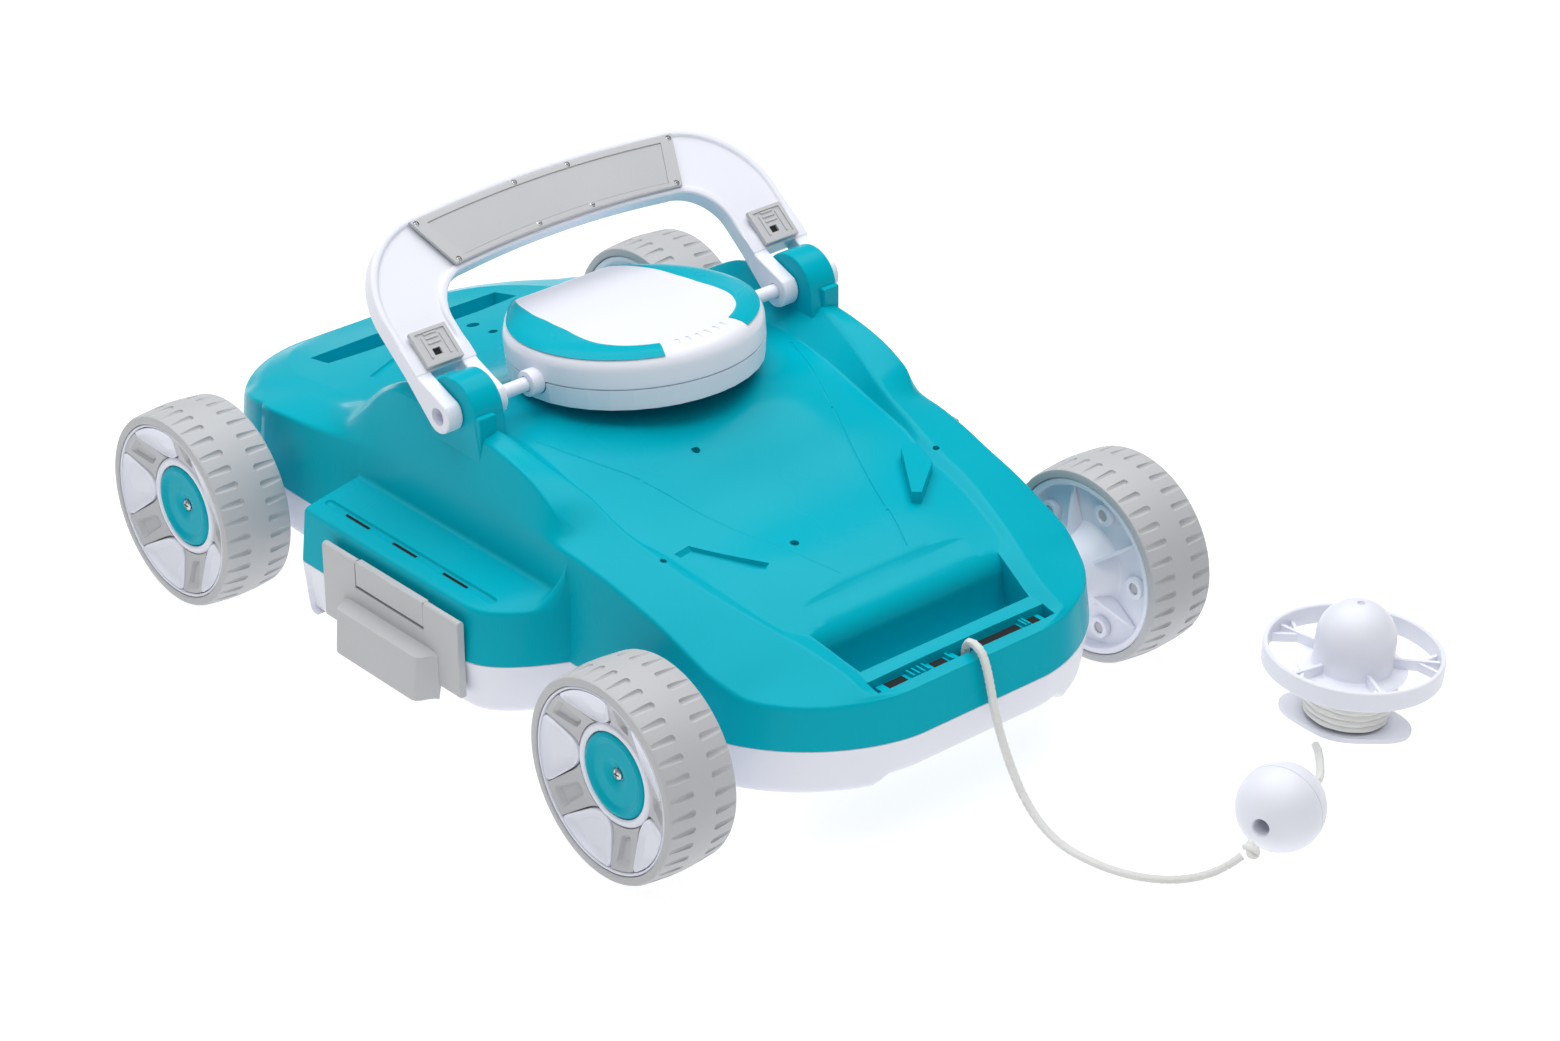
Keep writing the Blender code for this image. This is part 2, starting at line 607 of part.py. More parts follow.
def handle(coll, tools, white, grey):
    outer, inner = handle_edges()
    full_out = outer + [(-x, s) for x, s in outer[-2::-1]]
    full_in = inner + [(-x, s) for x, s in inner[-2::-1]]
    low = TOP_H - HANDLE_T
    bm = bmesh.new()
    strip(bm, full_out, full_in, low, TOP_H)
    axis = (0, AXIS_Y, AXIS_Z)
    frame = add("handle_frame", bm, white, coll, axis)
    for side, label in ((1, "right"), (-1, "left")):
        for x0, x1, leg in ((LUG_OUT + GAP, ARM_OUT, "outer"), (INNER_LEG, LUG_IN - GAP, "inner")):
            bm = bmesh.new()
            arc = [(8.5 * MM * math.cos(a), 8.5 * MM * math.sin(a))
                   for a in (math.radians(90 + 15 * k) for k in range(13))]
            sketch = arc + [(FORK_S + 3 * MM, low), (FORK_S + 3 * MM, TOP_H), (FORK_S - 2 * MM, TOP_H)]
            points = [handle_point(0, s, h).yz for s, h in sketch]
            prism(bm, points, side * x0, side * x1)
            cut(frame, add("leg_%s_%s" % (leg, label), bm, white, tools), "UNION")
        bore = bmesh.new()
        rod(bore, PIN_R + GAP, (side * (INNER_LEG - 3 * MM), AXIS_Y, AXIS_Z),
            (side * (ARM_OUT + 3 * MM), AXIS_Y, AXIS_Z), 16)
        cut(frame, add("leg_bore_" + label, bore, white, tools))
        slide_key(coll, tools, frame, grey, side, label)
    pad = bmesh.new()
    sections = 12
    far, near = [], []
    for k in range(sections + 1):
        share = 2 * k / sections - 1
        rise = (1 - share * share) * 3.5 * MM
        far.append((share * (INNER_LEG - 5 * MM), HANDLE_REACH - 3.5 * MM + rise))
        near.append((share * (INNER_LEG - 17 * MM), HANDLE_REACH - GRIP_W + 1.5 * MM + rise))
    strip(pad, far, near, TOP_H + GAP, TOP_H + PLATE_T)
    add("grip_pad", pad, grey, coll, axis)


def slide_key(coll, tools, frame, mat, side, label):
    """Square slide on the arm, held by a tongue in a slot."""
    mid = (INNER_LEG + ARM_OUT) / 2 + 0.6 * MM
    start = FORK_S + 0.6 * MM
    bm = bmesh.new()
    plate = [(mid - KEY_W / 2, start), (mid - KEY_W / 2, start + KEY_L)]
    other = [(mid + KEY_W / 2, start), (mid + KEY_W / 2, start + KEY_L)]
    strip(bm, [(side * x, s) for x, s in plate], [(side * x, s) for x, s in other],
          TOP_H + GAP, TOP_H + 3 * MM)
    centre = handle_point(side * mid, start + KEY_L / 2, TOP_H)
    key = add("slide_key_" + label, bm, mat, coll, centre)
    tongue = bmesh.new()
    near, far = start + 4 * MM, start + KEY_L - 6 * MM
    half = TONGUE_W / 2
    strip(tongue, [(side * (mid - half), near), (side * (mid - half), far)],
          [(side * (mid + half), near), (side * (mid + half), far)],
          TOP_H - 5 * MM, TOP_H + 1 * MM)
    cut(key, add("tongue_" + label, tongue, mat, tools), "UNION")
    slot = bmesh.new()
    half += GAP
    far += KEY_TRAVEL + GAP
    near -= GAP
    strip(slot, [(side * (mid - half), near), (side * (mid - half), far)],
          [(side * (mid + half), near), (side * (mid + half), far)],
          TOP_H - HANDLE_T - 2 * MM, TOP_H + 2 * MM)
    cut(frame, add("key_slot_" + label, slot, mat, tools))
    pin = bmesh.new()
    rod(pin, PIN_R, (side * (PUCK_R + 0.5 * MM), AXIS_Y, AXIS_Z), (side * ARM_OUT, AXIS_Y, AXIS_Z), 16)
    add("pivot_pin_" + label, pin, mat, coll, (side * LUG_IN, AXIS_Y, AXIS_Z), True)


# ---------------------------------------------------------------- puck
def puck_place():
    """Turn and lift that set the puck at its rest tilt about the handle axis."""
    pivot = Matrix.Translation((0, AXIS_Y, AXIS_Z))
    return pivot @ Matrix.Rotation(-PUCK_TILT, 4, "X") @ pivot.inverted()


def put(ob, matrix, origin):
    """Bake a turned position into the mesh and set the origin on the joint axis."""
    ob.matrix_world = Matrix.Translation(origin)
    ob.data.transform(Matrix.Translation(-Vector(origin)) @ matrix)


def chin_box(name, tools, mat, chord):
    bm = bmesh.new()
    box(bm, (-PUCK_R, PUCK_Y + chord, PUCK_Z - PUCK_H),
        (PUCK_R, PUCK_Y + 2 * PUCK_R, PUCK_Z + 2 * PUCK_H))
    return add(name, bm, mat, tools)


def round_solid(name, profile, mat, coll, steps=36):
    """Screw a profile round the puck's centre line and return it as a plain mesh."""
    ob = baked(turned(name, profile[::-1], mat, coll, steps=steps))
    ob.data.transform(Matrix.Translation((0, PUCK_Y, PUCK_Z)))
    return ob


def puck(coll, tools, white, teal):
    r, low, high = PUCK_R, PUCK_SKIRT + GAP, PUCK_H
    axis = (0, AXIS_Y, AXIS_Z)
    crown = [(0, low), (r, low), (r, high - 10 * MM), (r - 1.5 * MM, high - 5 * MM),
             (r - 4.5 * MM, high - 2.4 * MM), (r - 13 * MM, high - 0.8 * MM), (0, high)]
    hollow = [(0, low - 5 * MM), (r - PUCK_WALL, low - 5 * MM), (r - PUCK_WALL, high - 10 * MM),
              (r - 4.5 * MM, high - 6 * MM), (r - 14 * MM, high - 3.2 * MM), (0, high - 2.4 * MM)]
    shell = round_solid("puck_shell", crown, white, coll)
    core = round_solid("puck_hollow", hollow, white, tools)
    cut(shell, chin_box("chin_outer", tools, white, PUCK_CHORD))
    cut(core, chin_box("chin_inner", tools, white, PUCK_CHORD - PUCK_WALL))
    cut(shell, core)
    shift = puck_place()
    for side, label in ((1, "right"), (-1, "left")):
        boss = bmesh.new()
        inner_x = math.sqrt(r * r - PUCK_SETBACK ** 2) - PUCK_WALL / 2
        rod(boss, SOCKET_R, (side * inner_x, AXIS_Y, AXIS_Z),
            (side * (r + SOCKET_OUT), AXIS_Y, AXIS_Z), 16)
        cut(shell, add("socket_" + label, boss, white, tools), "UNION")
    bore = bmesh.new()
    for side in (1, -1):
        rod(bore, PIN_R + GAP, (side * (r - 6 * MM), AXIS_Y, AXIS_Z),
            (side * (r + 10 * MM), AXIS_Y, AXIS_Z), 16)
    cut(shell, add("socket_bore", bore, white, tools))
    skirt = [(r - 5 * MM, 0), (r - 1 * MM, 0), (r, PUCK_SKIRT), (r - 5 * MM, PUCK_SKIRT)]
    ring = round_solid("puck_skirt", skirt, white, coll)
    trim_chin(ring)
    clear = bmesh.new()
    for side in (1, -1):
        rod(clear, SOCKET_R + GAP, (side * (r - 9 * MM), AXIS_Y, AXIS_Z),
            (side * (r + 9 * MM), AXIS_Y, AXIS_Z), 16)
    cut(ring, add("socket_clearance", clear, white, tools))
    pieces = [shell, ring]
    for side, label in ((1, "right"), (-1, "left")):
        pieces.append(crescent("crescent_" + label, side, teal, coll))
    for ob in list(tools.objects):
        if ob.name.startswith(("chin_", "puck_hollow", "socket_")):
            ob.matrix_world = shift @ ob.matrix_world
    for ob in pieces:
        put(ob, shift, axis)


def trim_chin(ob):
    """Pull the skirt's rear in to the chin flat."""
    for v in ob.data.vertices:
        inner = math.hypot(v.co.x, v.co.y - PUCK_Y) < PUCK_R - 3 * MM
        v.co.y = min(v.co.y, PUCK_Y + PUCK_CHORD - (4 * MM if inner else 0.0))


def crescent(name, side, mat, coll):
    """Curved inlay on the puck's top, wide in the middle and pointed at its ends."""
    bm = bmesh.new()
    sections = 14
    loops = []
    for k in range(sections + 1):
        share = k / sections
        a = math.radians(-64 + 128 * share)
        outer = PUCK_R - 4 * MM
        width = 2.5 * MM + 15 * MM * math.sin(math.pi * share) ** 0.8
        loop = []
        for r in (outer, outer - min(9 * MM, 0.6 * width), outer - width):
            for lift in (GAP, 1.2 * MM):
                rise = PUCK_H - 0.8 * MM - 1.6 * MM * max(0.0, (r - PUCK_R + 13 * MM) / (9 * MM))
                rise += 0.8 * MM * max(0.0, 1 - r / (PUCK_R - 13 * MM))
                loop.append(Vector((side * r * math.cos(a), PUCK_Y + r * math.sin(a),
                                    PUCK_Z + rise + lift + 0.2 * MM)))
        loops.append([bm.verts.new(loop[i]) for i in (0, 2, 4, 5, 3, 1)])
    for a, b in zip(loops, loops[1:]):
        for i in range(6):
            j = (i + 1) % 6
            bm.faces.new((a[i], a[j], b[j], b[i]))
    bm.faces.new(loops[0])
    bm.faces.new(loops[-1][::-1])
    return add(name, bm, mat, coll)


# ---------------------------------------------------------------- side latches
def side_latches(coll, tools, grey, steel):
    for side, label in ((1, "right"), (-1, "left")):
        x0, x1 = LATCH_X, LATCH_X + LATCH_T
        axis = Vector((side * LATCH_AXIS.x, 0, LATCH_AXIS.z))
        half = LATCH_T / 2
        top = [(axis.z + half * math.sin(a), LATCH_AXIS.x + half * math.cos(a))
               for a in (math.radians(30 * k) for k in range(7))]
        low = LATCH_Z - LATCH_H
        sketch = [(x1, low), (x1, axis.z)] + [(x, z) for z, x in top[1:-1]] + [(x0, axis.z), (x0, low)]
        bm = bmesh.new()
        plate_between(bm, [(side * x, z) for x, z in sketch], -LATCH_HALF, LATCH_HALF)
        latch = add("side_latch_" + label, bm, grey, coll, axis)
        lip = bmesh.new()
        profile = [(x1 - 1 * MM, low + 2 * MM), (x1 + LIP_OUT * 0.6, low + 4 * MM),
                   (x1 + LIP_OUT, low + 15 * MM), (x1 - 1 * MM, low + 21 * MM)]
        plate_between(lip, [(side * x, z) for x, z in profile], -LIP_HALF, LIP_HALF)
        cut(latch, add("lip_" + label, lip, grey, tools), "UNION")
        notch = bmesh.new()
        xa, xb = sorted((side * (x0 - 2 * MM), side * (x1 + 2 * MM)))
        box(notch, (xa, -TAB_HALF - GAP, LATCH_Z - TAB_H - GAP), (xb, TAB_HALF + GAP, LATCH_Z + 2 * MM))
        cut(latch, add("notch_" + label, notch, grey, tools))
        bore = bmesh.new()
        rod(bore, 1.0 * MM + GAP, (axis.x, -LATCH_HALF + 6 * MM, axis.z),
            (axis.x, LATCH_HALF - 6 * MM, axis.z), 12)
        cut(latch, add("latch_bore_" + label, bore, grey, tools))
        tab = bmesh.new()
        xa, xb = sorted((side * x0, side * x1))
        box(tab, (xa, -TAB_HALF, LATCH_Z - TAB_H), (xb, TAB_HALF, LATCH_Z))
        block = add("latch_block_" + label, tab, grey, coll)
        cut(block, bpy.data.objects["latch_bore_" + label])
        pin = bmesh.new()
        rod(pin, 1.0 * MM, (axis.x, -LATCH_HALF + 6.6 * MM, axis.z),
            (axis.x, LATCH_HALF - 6.6 * MM, axis.z), 12)
        add("latch_pin_" + label, pin, steel, coll, axis, True)


def plate_between(bm, points, y0, y1):
    """Close an (x, z) outline between two y planes."""
    near = [bm.verts.new((x, y0, z)) for x, z in points]
    far = [bm.verts.new((x, y1, z)) for x, z in points]
    bm.faces.new(near)
    bm.faces.new(far[::-1])
    for i in range(len(points)):
        j = (i + 1) % len(points)
        bm.faces.new((near[i], near[j], far[j], far[i]))


# ---------------------------------------------------------------- inside
def filter_unit(coll, tools, grey, mesh_mat, white):
    floor = BASE_Z + WALL + GAP
    bm = bmesh.new()
    box(bm, (-TRAY_X, -TRAY_Y, floor), (TRAY_X, TRAY_Y, floor + TRAY_H))
    tray = add("filter_frame", bm, grey, coll)
    core = bmesh.new()
    box(core, (-TRAY_X + TRAY_WALL, -TRAY_Y + TRAY_WALL, floor - 5 * MM),
        (TRAY_X - TRAY_WALL, TRAY_Y - TRAY_WALL, floor + TRAY_H + 5 * MM))
    cut(tray, add("filter_hollow", core, grey, tools))
    bm = bmesh.new()
    z0 = floor + TRAY_H + GAP
    box(bm, (-TRAY_X, -TRAY_Y, z0), (TRAY_X, TRAY_Y, z0 + SCREEN_T))
    screen = add("filter_screen", bm, mesh_mat, coll)
    hole = bmesh.new()
    rod(hole, MOTOR_R, (0, PUCK_Y, z0 - 2 * MM), (0, PUCK_Y, z0 + SCREEN_T + 2 * MM), 24)
    cut(screen, add("screen_hole", hole, grey, tools))
    return z0 + SCREEN_T + GAP


def pump(coll, tools, z0, grey, white, steel):
    place = (0, PUCK_Y, 0)
    r = DUCT_R + HOUSING_WALL
    top = z0 + HOUSING_H
    cup = [(MOTOR_R - 8 * MM, z0), (r, z0), (r, top), (DUCT_R, top), (DUCT_R, z0 + 3 * MM),
           (MOTOR_R - 8 * MM, z0 + 3 * MM)]
    turned("pump_housing", cup[::-1], grey, coll, location=place)
    motor_z = z0 + 3 * MM + GAP
    shaft_top = motor_z + 26 * MM
    can = [(0, motor_z), (MOTOR_R - 0.6 * MM, motor_z), (MOTOR_R - 0.6 * MM, motor_z + 15 * MM),
           (3 * MM, motor_z + 15 * MM), (3 * MM, shaft_top), (0, shaft_top)]
    turned("pump_motor", can[::-1], steel, coll, location=place, steps=24)
    hub_z = motor_z + 15 * MM + GAP
    bm = bmesh.new()
    rod(bm, 9 * MM, (0, PUCK_Y, hub_z), (0, PUCK_Y, hub_z + 9 * MM), 20)
    impeller = add("impeller", bm, white, coll, (0, PUCK_Y, hub_z))
    for k in range(6):
        blade = bmesh.new()
        verts = box(blade, (6 * MM, -0.8 * MM, hub_z + 1 * MM), (IMPELLER_R, 0.8 * MM, hub_z + 8 * MM))
        turn = Matrix.Translation((0, PUCK_Y, 0)) @ Matrix.Rotation(math.radians(60 * k), 4, "Z")
        bmesh.ops.transform(blade, matrix=turn, verts=verts)
        cut(impeller, add("blade_%d" % k, blade, white, tools), "UNION")
    hole = bmesh.new()
    rod(hole, 3 * MM + GAP, (0, PUCK_Y, hub_z - 2 * MM), (0, PUCK_Y, hub_z + 12 * MM), 16)
    cut(impeller, add("impeller_bore", hole, white, tools))
    duct_top = PUCK_Z - 5 * MM
    tube = [(DUCT_R - HOUSING_WALL, top + GAP), (DUCT_R, top + GAP), (DUCT_R, duct_top),
            (DUCT_R - HOUSING_WALL, duct_top)]
    turned("jet_duct", tube[::-1], white, coll, location=place)


def inside_pieces(coll, tools, grey, dark, white, teal, steel, mesh_mat):
    z0 = filter_unit(coll, tools, grey, mesh_mat, white)
    pump(coll, tools, z0, grey, white, steel)
    bx, by, bz = BATTERY
    bm = bmesh.new()
    front = -TRAY_Y - 8 * MM
    floor = BASE_Z + WALL + FRONT_LIFT
    box(bm, (-bx / 2, front - by, floor), (bx / 2, front, floor + bz))
    battery = add("battery_pack", bm, dark, coll)
    bevel = battery.modifiers.new("Bevel", "BEVEL")
    bevel.width = 3 * MM
    bevel.segments = 2
    for sign, label in ((-1, "front"), (1, "rear")):
        y0 = sign * MOUTH_Y - MOUTH_L / 2 - 2 * MM
        z = BASE_Z + WALL + GAP
        bm = bmesh.new()
        box(bm, (-MOUTH_W / 2 - 3 * MM, y0, z),
            (MOUTH_W / 2 + 3 * MM, y0 + MOUTH_L + 4 * MM, z + FLAP_T))
        add("suction_flap_" + label, bm, dark, coll, (0, y0, z + FLAP_T / 2))
    skirt = bmesh.new()
    box(skirt, (-SKIRT_X, -SKIRT_Y, SKIRT_Z), (SKIRT_X, SKIRT_Y, BASE_Z - GAP))
    skirt_ob = add("suction_skirt", skirt, dark, coll)
    inner = bmesh.new()
    box(inner, (-SKIRT_X + 4 * MM, -SKIRT_Y + 4 * MM, SKIRT_Z - 4 * MM),
        (SKIRT_X - 4 * MM, SKIRT_Y - 4 * MM, BASE_Z + 4 * MM))
    cut(skirt_ob, add("skirt_hollow", inner, dark, tools))
    rear_panel(coll, tools, grey, dark, teal)
    bm = bmesh.new()
    bar_y = -BODY_HALF + SLOT_BACK
    z = PART_Z + 7 * MM
    box(bm, (-SLOT_HALF - 4 * MM, bar_y - SLOT_W / 2 - 1 * MM, z),
        (SLOT_HALF + 4 * MM, bar_y + SLOT_W / 2, z + 5 * MM))
    guide = add("slot_guide", bm, teal, coll)
    hole = bmesh.new()
    rod(hole, ROPE_D / 2 + GAP, (ROPE_X, bar_y, z - 2 * MM), (ROPE_X, bar_y, z + 8 * MM), 12)
    cut(guide, add("guide_hole", hole, teal, tools))


def rear_panel(coll, tools, grey, dark, teal):
    """Switch panel let into the tray's rear wall, with a push button and a charging cap."""
    z0 = BASE_Z + PANEL_LOW
    face = BODY_HALF - 2.4 * MM
    bm = bmesh.new()
    box(bm, (-PANEL_HALF, face - 6 * MM, z0), (PANEL_HALF, face, z0 + PANEL_H))
    panel = add("rear_panel", bm, grey, coll)
    z = z0 + PANEL_H / 2
    for x, radius, name in ((-28 * MM, BUTTON_R, "button"), (28 * MM, CAP_R - 1.5 * MM, "socket")):
        hole = bmesh.new()
        rod(hole, min(radius, PANEL_H / 2 - 1 * MM) + GAP,
            (x, face - 10 * MM, z), (x, face + 4 * MM, z), 20)
        cut(panel, add("panel_hole_" + name, hole, grey, tools))
    radius = min(BUTTON_R, PANEL_H / 2 - 1 * MM)
    bm = bmesh.new()
    rod(bm, radius, (-28 * MM, face - 6 * MM, z), (-28 * MM, face + BUTTON_TRAVEL, z), 20)
    add("power_button", bm, teal, coll, (-28 * MM, face, z), True)
    bm = bmesh.new()
    rod(bm, CAP_R, (28 * MM, face + GAP, z), (28 * MM, face + 2.1 * MM, z), 20)
    hinge_x = 28 * MM + CAP_R + 1.5 * MM
    cap = add("charge_cap", bm, dark, coll, (hinge_x, face + 1.3 * MM, z), True)
    strap = bmesh.new()
    box(strap, (28 * MM, face + GAP, z - 2 * MM), (hinge_x + 0.5 * MM, face + 2.1 * MM, z + 2 * MM))
    cut(cap, add("cap_strap", strap, dark, tools), "UNION")


# ---------------------------------------------------------------- rope, ball, reel
ROPE_LEAD = ((2, -219, 60), (2, -219, 70), (2, -219.3, 76.8), (2, -221.4, 80.4), (2, -225, 80.9),
             (2, -229.6, 78.4), (2, -232.8, 72.5), (2, -235.4, 64.5), (2, -238.4, 54), (2, -243, 42),
             (2, -249.5, 29.5), (2.1, -257.6, 18), (2.3, -268.5, 8.6), (2.8, -282, 3.3),
             (3.9, -297, 2.2), (7, -312, 2.1), (13.5, -325.5, 2.1), (23, -335.5, 2.3),
             (33.5, -342, 3.6), (41.4, -346.7, 7.4), (46.6, -349.8, 11.4))
ROPE_LINK = ((99.6, -336.9, 20.6), (105, -335, 18.6), (113, -331.5, 14), (122, -325.5, 8.6),
             (132, -317.5, 4.6), (141, -309, 2.6), (148, -301.5, 2.1), (151, -297, 2.1))


def spline_points(points, spacing):
    """Catmull-Rom samples through hand-placed points, at an even spacing."""
    pts = [Vector(p) * MM for p in points]
    pts = [pts[0] * 2 - pts[1]] + pts + [pts[-1] * 2 - pts[-2]]
    fine = []
    for a, b, c, d in zip(pts, pts[1:], pts[2:], pts[3:]):
        for k in range(12):
            u = k / 12
            fine.append(0.5 * (2 * b + (c - a) * u + (2 * a - 5 * b + 4 * c - d) * u * u
                               + (3 * b - a - 3 * c + d) * u ** 3))
    fine.append(pts[-2])
    total = sum((q - p).length for p, q in zip(fine, fine[1:]))
    count = max(2, round(total / spacing))
    step = total / count
    even, run, target = [fine[0]], 0.0, step
    for p, q in zip(fine, fine[1:]):
        length = (q - p).length
        while run + length >= target - 1e-9 and len(even) < count:
            even.append(p.lerp(q, (target - run) / length))
            target += step
        run += length
    even.append(fine[-1])
    return even


def rope_tube(name, points, mat, coll):
    curve = bpy.data.curves.new(name, "CURVE")
    curve.dimensions = "3D"
    curve.bevel_depth = ROPE_D / 2
    curve.bevel_resolution = 2
    curve.use_fill_caps = True
    spline = curve.splines.new("POLY")
    samples = spline_points(points, 2.2 * ROPE_D)
    spline.points.add(len(samples) - 1)
    for point, co in zip(spline.points, samples):
        point.co = (*co, 1.0)
    curve.materials.append(mat)
    ob = bpy.data.objects.new(name, curve)
    coll.objects.link(ob)


def ball_on_rope(coll, tools, white, rope):
    centre = Vector((BALL_AT[0] * MM, BALL_AT[1] * MM, BALL_R))
    along = Vector((math.cos(BALL_TURN), math.sin(BALL_TURN), 0))
    bm = bmesh.new()
    bmesh.ops.create_uvsphere(bm, u_segments=18, v_segments=10, radius=BALL_R,
                              matrix=Matrix.Translation(centre))
    ball = add("float_ball", bm, white, coll, centre, True)
    hole = bmesh.new()
    rod(hole, ROPE_D / 2 + 2 * MM, centre - along * BALL_R * 1.2, centre + along * BALL_R * 1.2, 14)
    cut(ball, add("ball_bore", hole, white, tools))
    start = Vector(ROPE_LEAD[-1]) * MM
    away = (start - Vector(ROPE_LEAD[-2]) * MM).normalized()
    bm = bmesh.new()
    bmesh.ops.create_uvsphere(bm, u_segments=10, v_segments=6, radius=KNOT_R,
                              matrix=Matrix.Translation(start + away * (KNOT_R + GAP)))
    add("rope_knot", bm, rope, coll, start + away * (KNOT_R + GAP), True)


def reel_frame():
    """The reel's own frame: it leans a little on the rope that passes under its flange."""
    turn = Matrix.Rotation(REEL_TURN, 4, "Z")
    lean = Matrix.Rotation(REEL_TILT, 4, "Y")
    view = Matrix.Rotation(math.radians(-41), 4, "Z")
    rise = FLANGE_LONG * math.sin(REEL_TILT) + 0.2 * MM
    base = Matrix.Translation((REEL_AT[0] * MM, REEL_AT[1] * MM, rise))
    return base @ view @ lean @ view.inverted() @ turn


def reel(coll, tools, white, rope):
    frame = reel_frame()
    z1 = FLANGE_T
    z2 = z1 + REEL_GAP
    z3 = z2 + 2 * MM
    ring_low = z2 + 1 * MM
    hub = [(0, 0), (REEL_CORE_R, 0), (REEL_CORE_R, z2), (HUB_DISC_R, z2), (HUB_DISC_R, z3),
           (DOME_R, z3)]
    hub += [(DOME_R * math.cos(a), z3 + DOME_LIFT + DOME_R * math.sin(a))
            for a in (math.radians(15 * k) for k in range(6))]
    hub.append((0, z3 + DOME_LIFT + DOME_R))
    body = baked(turned("reel", hub[::-1], white, coll, steps=24))
    made = []
    flange = bmesh.new()
    outline_points = []
    for k in range(28):
        a = 2 * math.pi * k / 28
        r = 22 * MM + (FLANGE_LONG - 22 * MM) * abs(math.cos(a)) ** 6
        outline_points.append((r * math.cos(a), r * math.sin(a)))
    low = [flange.verts.new((x, y, 0)) for x, y in outline_points]
    high = [flange.verts.new((x, y, FLANGE_T)) for x, y in outline_points]
    flange.faces.new(low[::-1])
    flange.faces.new(high)
    for i in range(28):
        j = (i + 1) % 28
        flange.faces.new((low[i], low[j], high[j], high[i]))
    made.append(add("reel_flange", flange, white, tools))
    ring_profile = [(REEL_R - RING_T, ring_low), (REEL_R, ring_low), (REEL_R, ring_low + RING_H),
                    (REEL_R - RING_T, ring_low + RING_H)]
    made.append(turned("reel_ring", ring_profile[::-1], white, tools, steps=32))
    for k in range(5):
        spoke = bmesh.new()
        verts = box(spoke, (REEL_CORE_R, -1.1 * MM, ring_low + 0.4 * MM),
                    (REEL_R - 1 * MM, 1.1 * MM, ring_low + 6 * MM))
        turn = Matrix.Rotation(math.radians(72 * k + 20), 4, "Z")
        bmesh.ops.transform(spoke, matrix=turn, verts=verts)
        made.append(add("reel_spoke_%d" % k, spoke, white, tools))
    for ob in made:
        ob.matrix_world = frame @ ob.matrix_world
        cut(body, ob, "UNION")
    put(body, frame, frame.translation)
    outer = [(REEL_CORE_R + GAP, z1 + GAP), (19.5 * MM, z1 + GAP), (24 * MM, z2 - GAP),
             (REEL_CORE_R + GAP, z2 - GAP)]
    coil = baked(turned("rope_winding", outer[::-1], rope, coll, steps=28))
    put(coil, frame, frame.translation)


# ---------------------------------------------------------------- assembly
def main():
    clear_scene()
    parts = collection(NAME)
    tools = collection(NAME + "_cutters")
    teal = material("teal_shell", (0.0, 0.45, 0.50), 0.25)
    white = material("white_moulding", (0.80, 0.82, 0.88), 0.35)
    grey = material("grey_moulding", (0.52, 0.52, 0.53), 0.5)
    dark = material("dark_rubber", (0.04, 0.045, 0.05), 0.7)
    steel = material("stainless_steel", (0.6, 0.6, 0.6), 0.3, 1.0)
    rope = material("white_rope", (0.85, 0.86, 0.84), 0.8)
    mesh_mat = material("filter_mesh", (0.75, 0.77, 0.80), 0.7)
    top_cover(parts, tools, teal)
    base_tray(parts, tools, white)
    wheels(parts, grey, white, teal, steel)
    handle(parts, tools, white, grey)
    puck(parts, tools, white, teal)
    side_latches(parts, tools, grey, steel)
    inside_pieces(parts, tools, grey, dark, white, teal, steel, mesh_mat)
    rope_tube("rope_lead", ROPE_LEAD, rope, parts)
    rope_tube("rope_link", ROPE_LINK, rope, parts)
    ball_on_rope(parts, tools, white, rope)
    reel(parts, tools, white, rope)
    tools.hide_render = True


main()
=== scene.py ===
"""Lengths are written in millimetres and scaled by MM. The front (rope side) faces -Y, up is +Z.
"""
import json
import math

import bmesh
import bpy
from bpy.props import FloatProperty, FloatVectorProperty, PointerProperty
from mathutils import Matrix, Vector
from mathutils.bvhtree import BVHTree


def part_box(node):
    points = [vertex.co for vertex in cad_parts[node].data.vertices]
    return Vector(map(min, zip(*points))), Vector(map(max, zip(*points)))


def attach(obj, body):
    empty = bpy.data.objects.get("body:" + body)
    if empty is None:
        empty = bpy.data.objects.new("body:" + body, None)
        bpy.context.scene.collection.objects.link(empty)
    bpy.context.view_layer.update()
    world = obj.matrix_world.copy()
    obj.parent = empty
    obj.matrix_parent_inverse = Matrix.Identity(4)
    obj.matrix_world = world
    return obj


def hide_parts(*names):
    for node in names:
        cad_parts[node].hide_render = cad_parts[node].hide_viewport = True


bl_info = {
    "name": "Pool cleaner",
    "version": (1, 0, 0),
    "blender": (4, 5, 0),
    "location": "View3D > Sidebar > Pool cleaner",
    "description": "Builds the shells, wheels, handle, jet puck and pull rope of a pool cleaner",
    "category": "Add Mesh",
}

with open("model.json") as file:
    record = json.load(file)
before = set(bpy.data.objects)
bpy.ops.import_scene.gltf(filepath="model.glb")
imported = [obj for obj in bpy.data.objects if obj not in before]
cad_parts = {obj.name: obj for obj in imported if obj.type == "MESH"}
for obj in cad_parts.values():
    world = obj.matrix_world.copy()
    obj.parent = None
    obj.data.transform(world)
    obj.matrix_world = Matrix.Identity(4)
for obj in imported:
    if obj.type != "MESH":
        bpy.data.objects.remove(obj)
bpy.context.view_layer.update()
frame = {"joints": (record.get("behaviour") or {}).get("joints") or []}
MM = 0.001
SIDES = (("left", -1), ("right", 1))
CORNERS = (("front_left", -1, -1), ("front_right", 1, -1), ("rear_left", -1, 1), ("rear_right", 1, 1))

